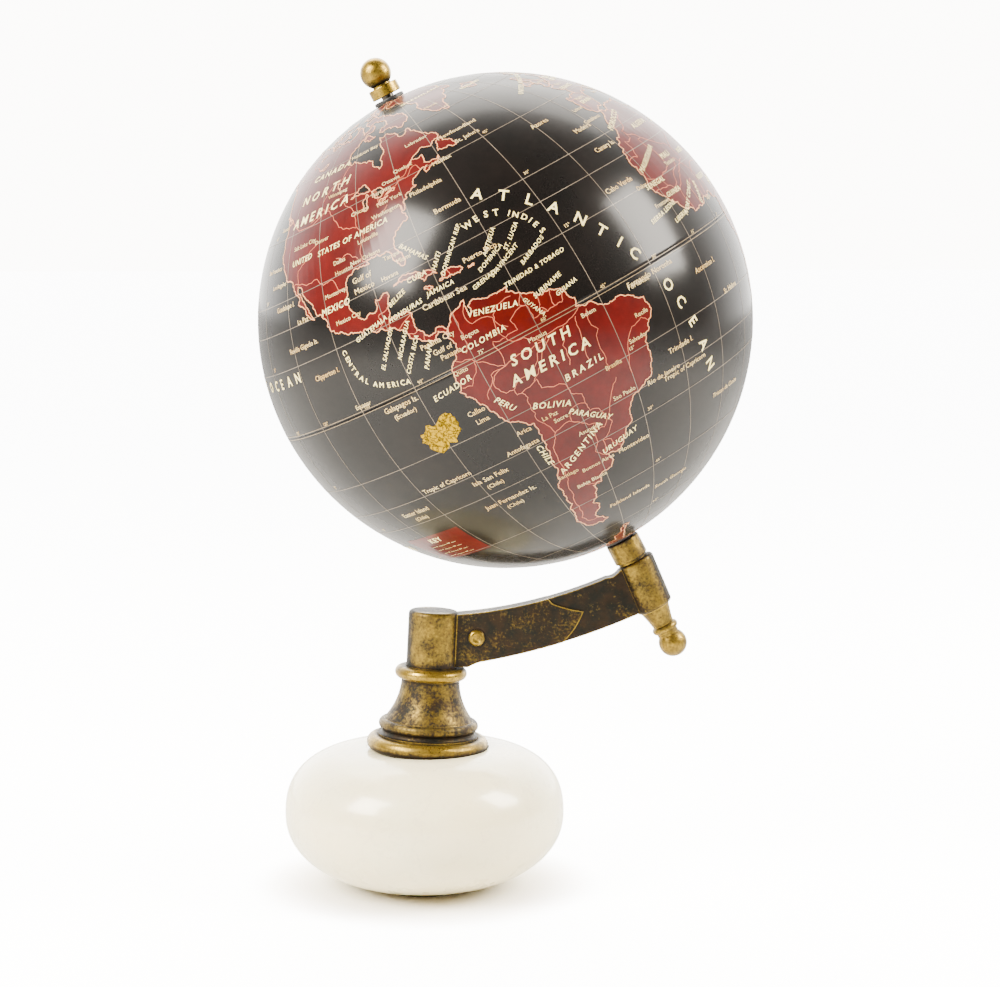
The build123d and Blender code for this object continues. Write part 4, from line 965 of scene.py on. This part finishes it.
# ---- Key panel and gilt patch ----
# A red key panel low in the south Pacific with a heading and rows of dashes, and a ragged patch
# of crumpled gilt foil pressed on the map off Peru.

key_panel, key_print = bmesh.new(), bmesh.new()
fill(key_panel, [(-131, -34.5), (-106, -34.5), (-106, -45.5), (-131, -45.5)], land_lift)
lettering(key_print, "KEY", 1.8, 0.03, 0.2, 1.2, 0, -118.5, -36.6)
first_row, row_step = -38.9, 1.7
for row in range(4):
    lettering(key_print, "— • —— •• —", 1.2, 0.0, 0.0, 1.0, 0, -118.5, first_row - row_step * row)
globe_piece("key_panel", finished(key_panel, "key_panel"), land_ink)
globe_piece("key_print", finished(key_print, "key_print"), cream_ink)


def crumpled_foil():
    """Gilt foil, crumpled and scribbled over with darker gold."""
    material, tree, shader = new_material("crumpled_gilt_foil", Metallic=1.0, Roughness=0.42)
    creases = noise(tree, 0.9 * MM, 4, 0.7)
    wander = maths(tree, "SUBTRACT", noise(tree, 1.1 * MM, 3))
    scribble = remap(tree, maths(tree, "ABSOLUTE", wander), 0.0, 0.09)
    drive(shader, Base_Color=blend(tree, scribble, paint("241d03"), paint("a8860c")))
    bump(tree, shader, creases, 0.25 * MM)
    return material


foil, patch_lift = bmesh.new(), 0.06 * MM
patch = [(-94.6, -9.6), (-92.3, -8.2), (-89.4, -8.6), (-86.6, -7.4), (-85.2, -9.2), (-85.3, -12.2),
         (-87.6, -14.6), (-91.2, -15.2), (-94.4, -13.4), (-95.3, -11.4)]
fill(foil, ragged(patch, True, patch_seed, 0.3, 2), patch_lift, 0.5)
globe_piece("gilt_patch", finished(foil, "gilt_patch"), crumpled_foil())


# ---- Studio ----
# A white table and backdrop, one tall softbox each side, one behind, and a dark room in front.
# The table glows only in direct view, and a brown shadow is painted into that glow where the stone overhangs
# it.

def studio():
    """Camera, seamless white table, surround and lamps."""
    camera_data = bpy.data.cameras.new("studio_camera")
    camera_data.lens = 98.45
    camera_data.sensor_width = 36.0
    camera_data.clip_start = 0.01
    camera_data.clip_end = 20.0
    camera = place_object("studio_camera", camera_data)
    camera.location = Vector((-11.9, -703.6, 189.0)) * MM
    look_down, look_right = 6.96, 2.58
    camera.rotation_euler = (math.radians(90 - look_down), 0.0, math.radians(-look_right))
    bpy.context.scene.camera = camera

    table = bpy.data.meshes.new("table_top")
    size, painted_shadow_reach = 4.0, 17 * MM
    corners = [(-size, -size, 0), (size, -size, 0), (size, size, 0), (-size, size, 0)]
    table.from_pydata(corners, [], [(0, 1, 2, 3)])
    floor = place_object("table_top", table)
    floor_material, tree, shader = new_material("white_sweep", Roughness=0.9)
    white = blend(tree, noise(tree, 0.4), paint("f4f4f2"), paint("efefec"))
    # Painted shadow: near the stone the glow is cut and turned brown, standing for the contact shadow.
    openness = add(tree, "ShaderNodeAmbientOcclusion", {"Distance": painted_shadow_reach}, samples=8).outputs["AO"]
    clear = remap(tree, openness, 0.2, 0.92)
    seen = add(tree, "ShaderNodeLightPath").outputs["Is Camera Ray"]
    glow = maths(tree, "MULTIPLY", seen, remap(tree, clear, 0, 1, 0.1, 10.5))
    drive(shader, Base_Color=white, Emission_Strength=glow,
          Emission_Color=blend(tree, clear, paint("8a6430"), paint("ffffff")))
    table.materials.append(floor_material)

    world = bpy.data.worlds.new("studio_world")
    bpy.context.scene.world = world
    world.use_nodes = True
    tree = world.node_tree
    direction = add(tree, "ShaderNodeTexCoord").outputs["Generated"]
    axes = add(tree, "ShaderNodeSeparateXYZ", {"Vector": direction}).outputs
    behind = remap(tree, axes["Y"], 0.2, 0.95, 0.08, 10.0)
    overhead = remap(tree, axes["Z"], 0.2, 1.0, 0.0, 0.12)
    glow = maths(tree, "ADD", behind, overhead)
    seen = add(tree, "ShaderNodeLightPath").outputs["Is Camera Ray"]
    strength = add(tree, "ShaderNodeMix", {0: seen, 2: glow, 3: 12.0}).outputs[0]
    tree.links.new(strength, tree.nodes["Background"].inputs["Strength"])
    tree.nodes["Background"].inputs["Color"].default_value = paint("fffcf6")

    aim_point = Vector((20, 0, 120)) * MM
    lamps = (
        ("softbox_left", (-550, -350, 540), (0.34, 0.44), 26.0),
        ("softbox_right", (650, -130, 560), (0.30, 0.44), 20.0),
        ("softbox_back", (40, 420, 700), (0.7, 0.4), 6.0),
    )
    for name, place, (width, height), power in lamps:
        light = bpy.data.lights.new(name, "AREA")
        light.shape = "RECTANGLE"
        light.size = width
        light.size_y = height
        light.energy = power
        light.color = paint("fff8ec")[:3]
        lamp = place_object(name, light)
        lamp.location = Vector(place) * MM
        aim = aim_point - lamp.location
        lamp.rotation_euler = aim.to_track_quat("-Z", "Y").to_euler()


studio()
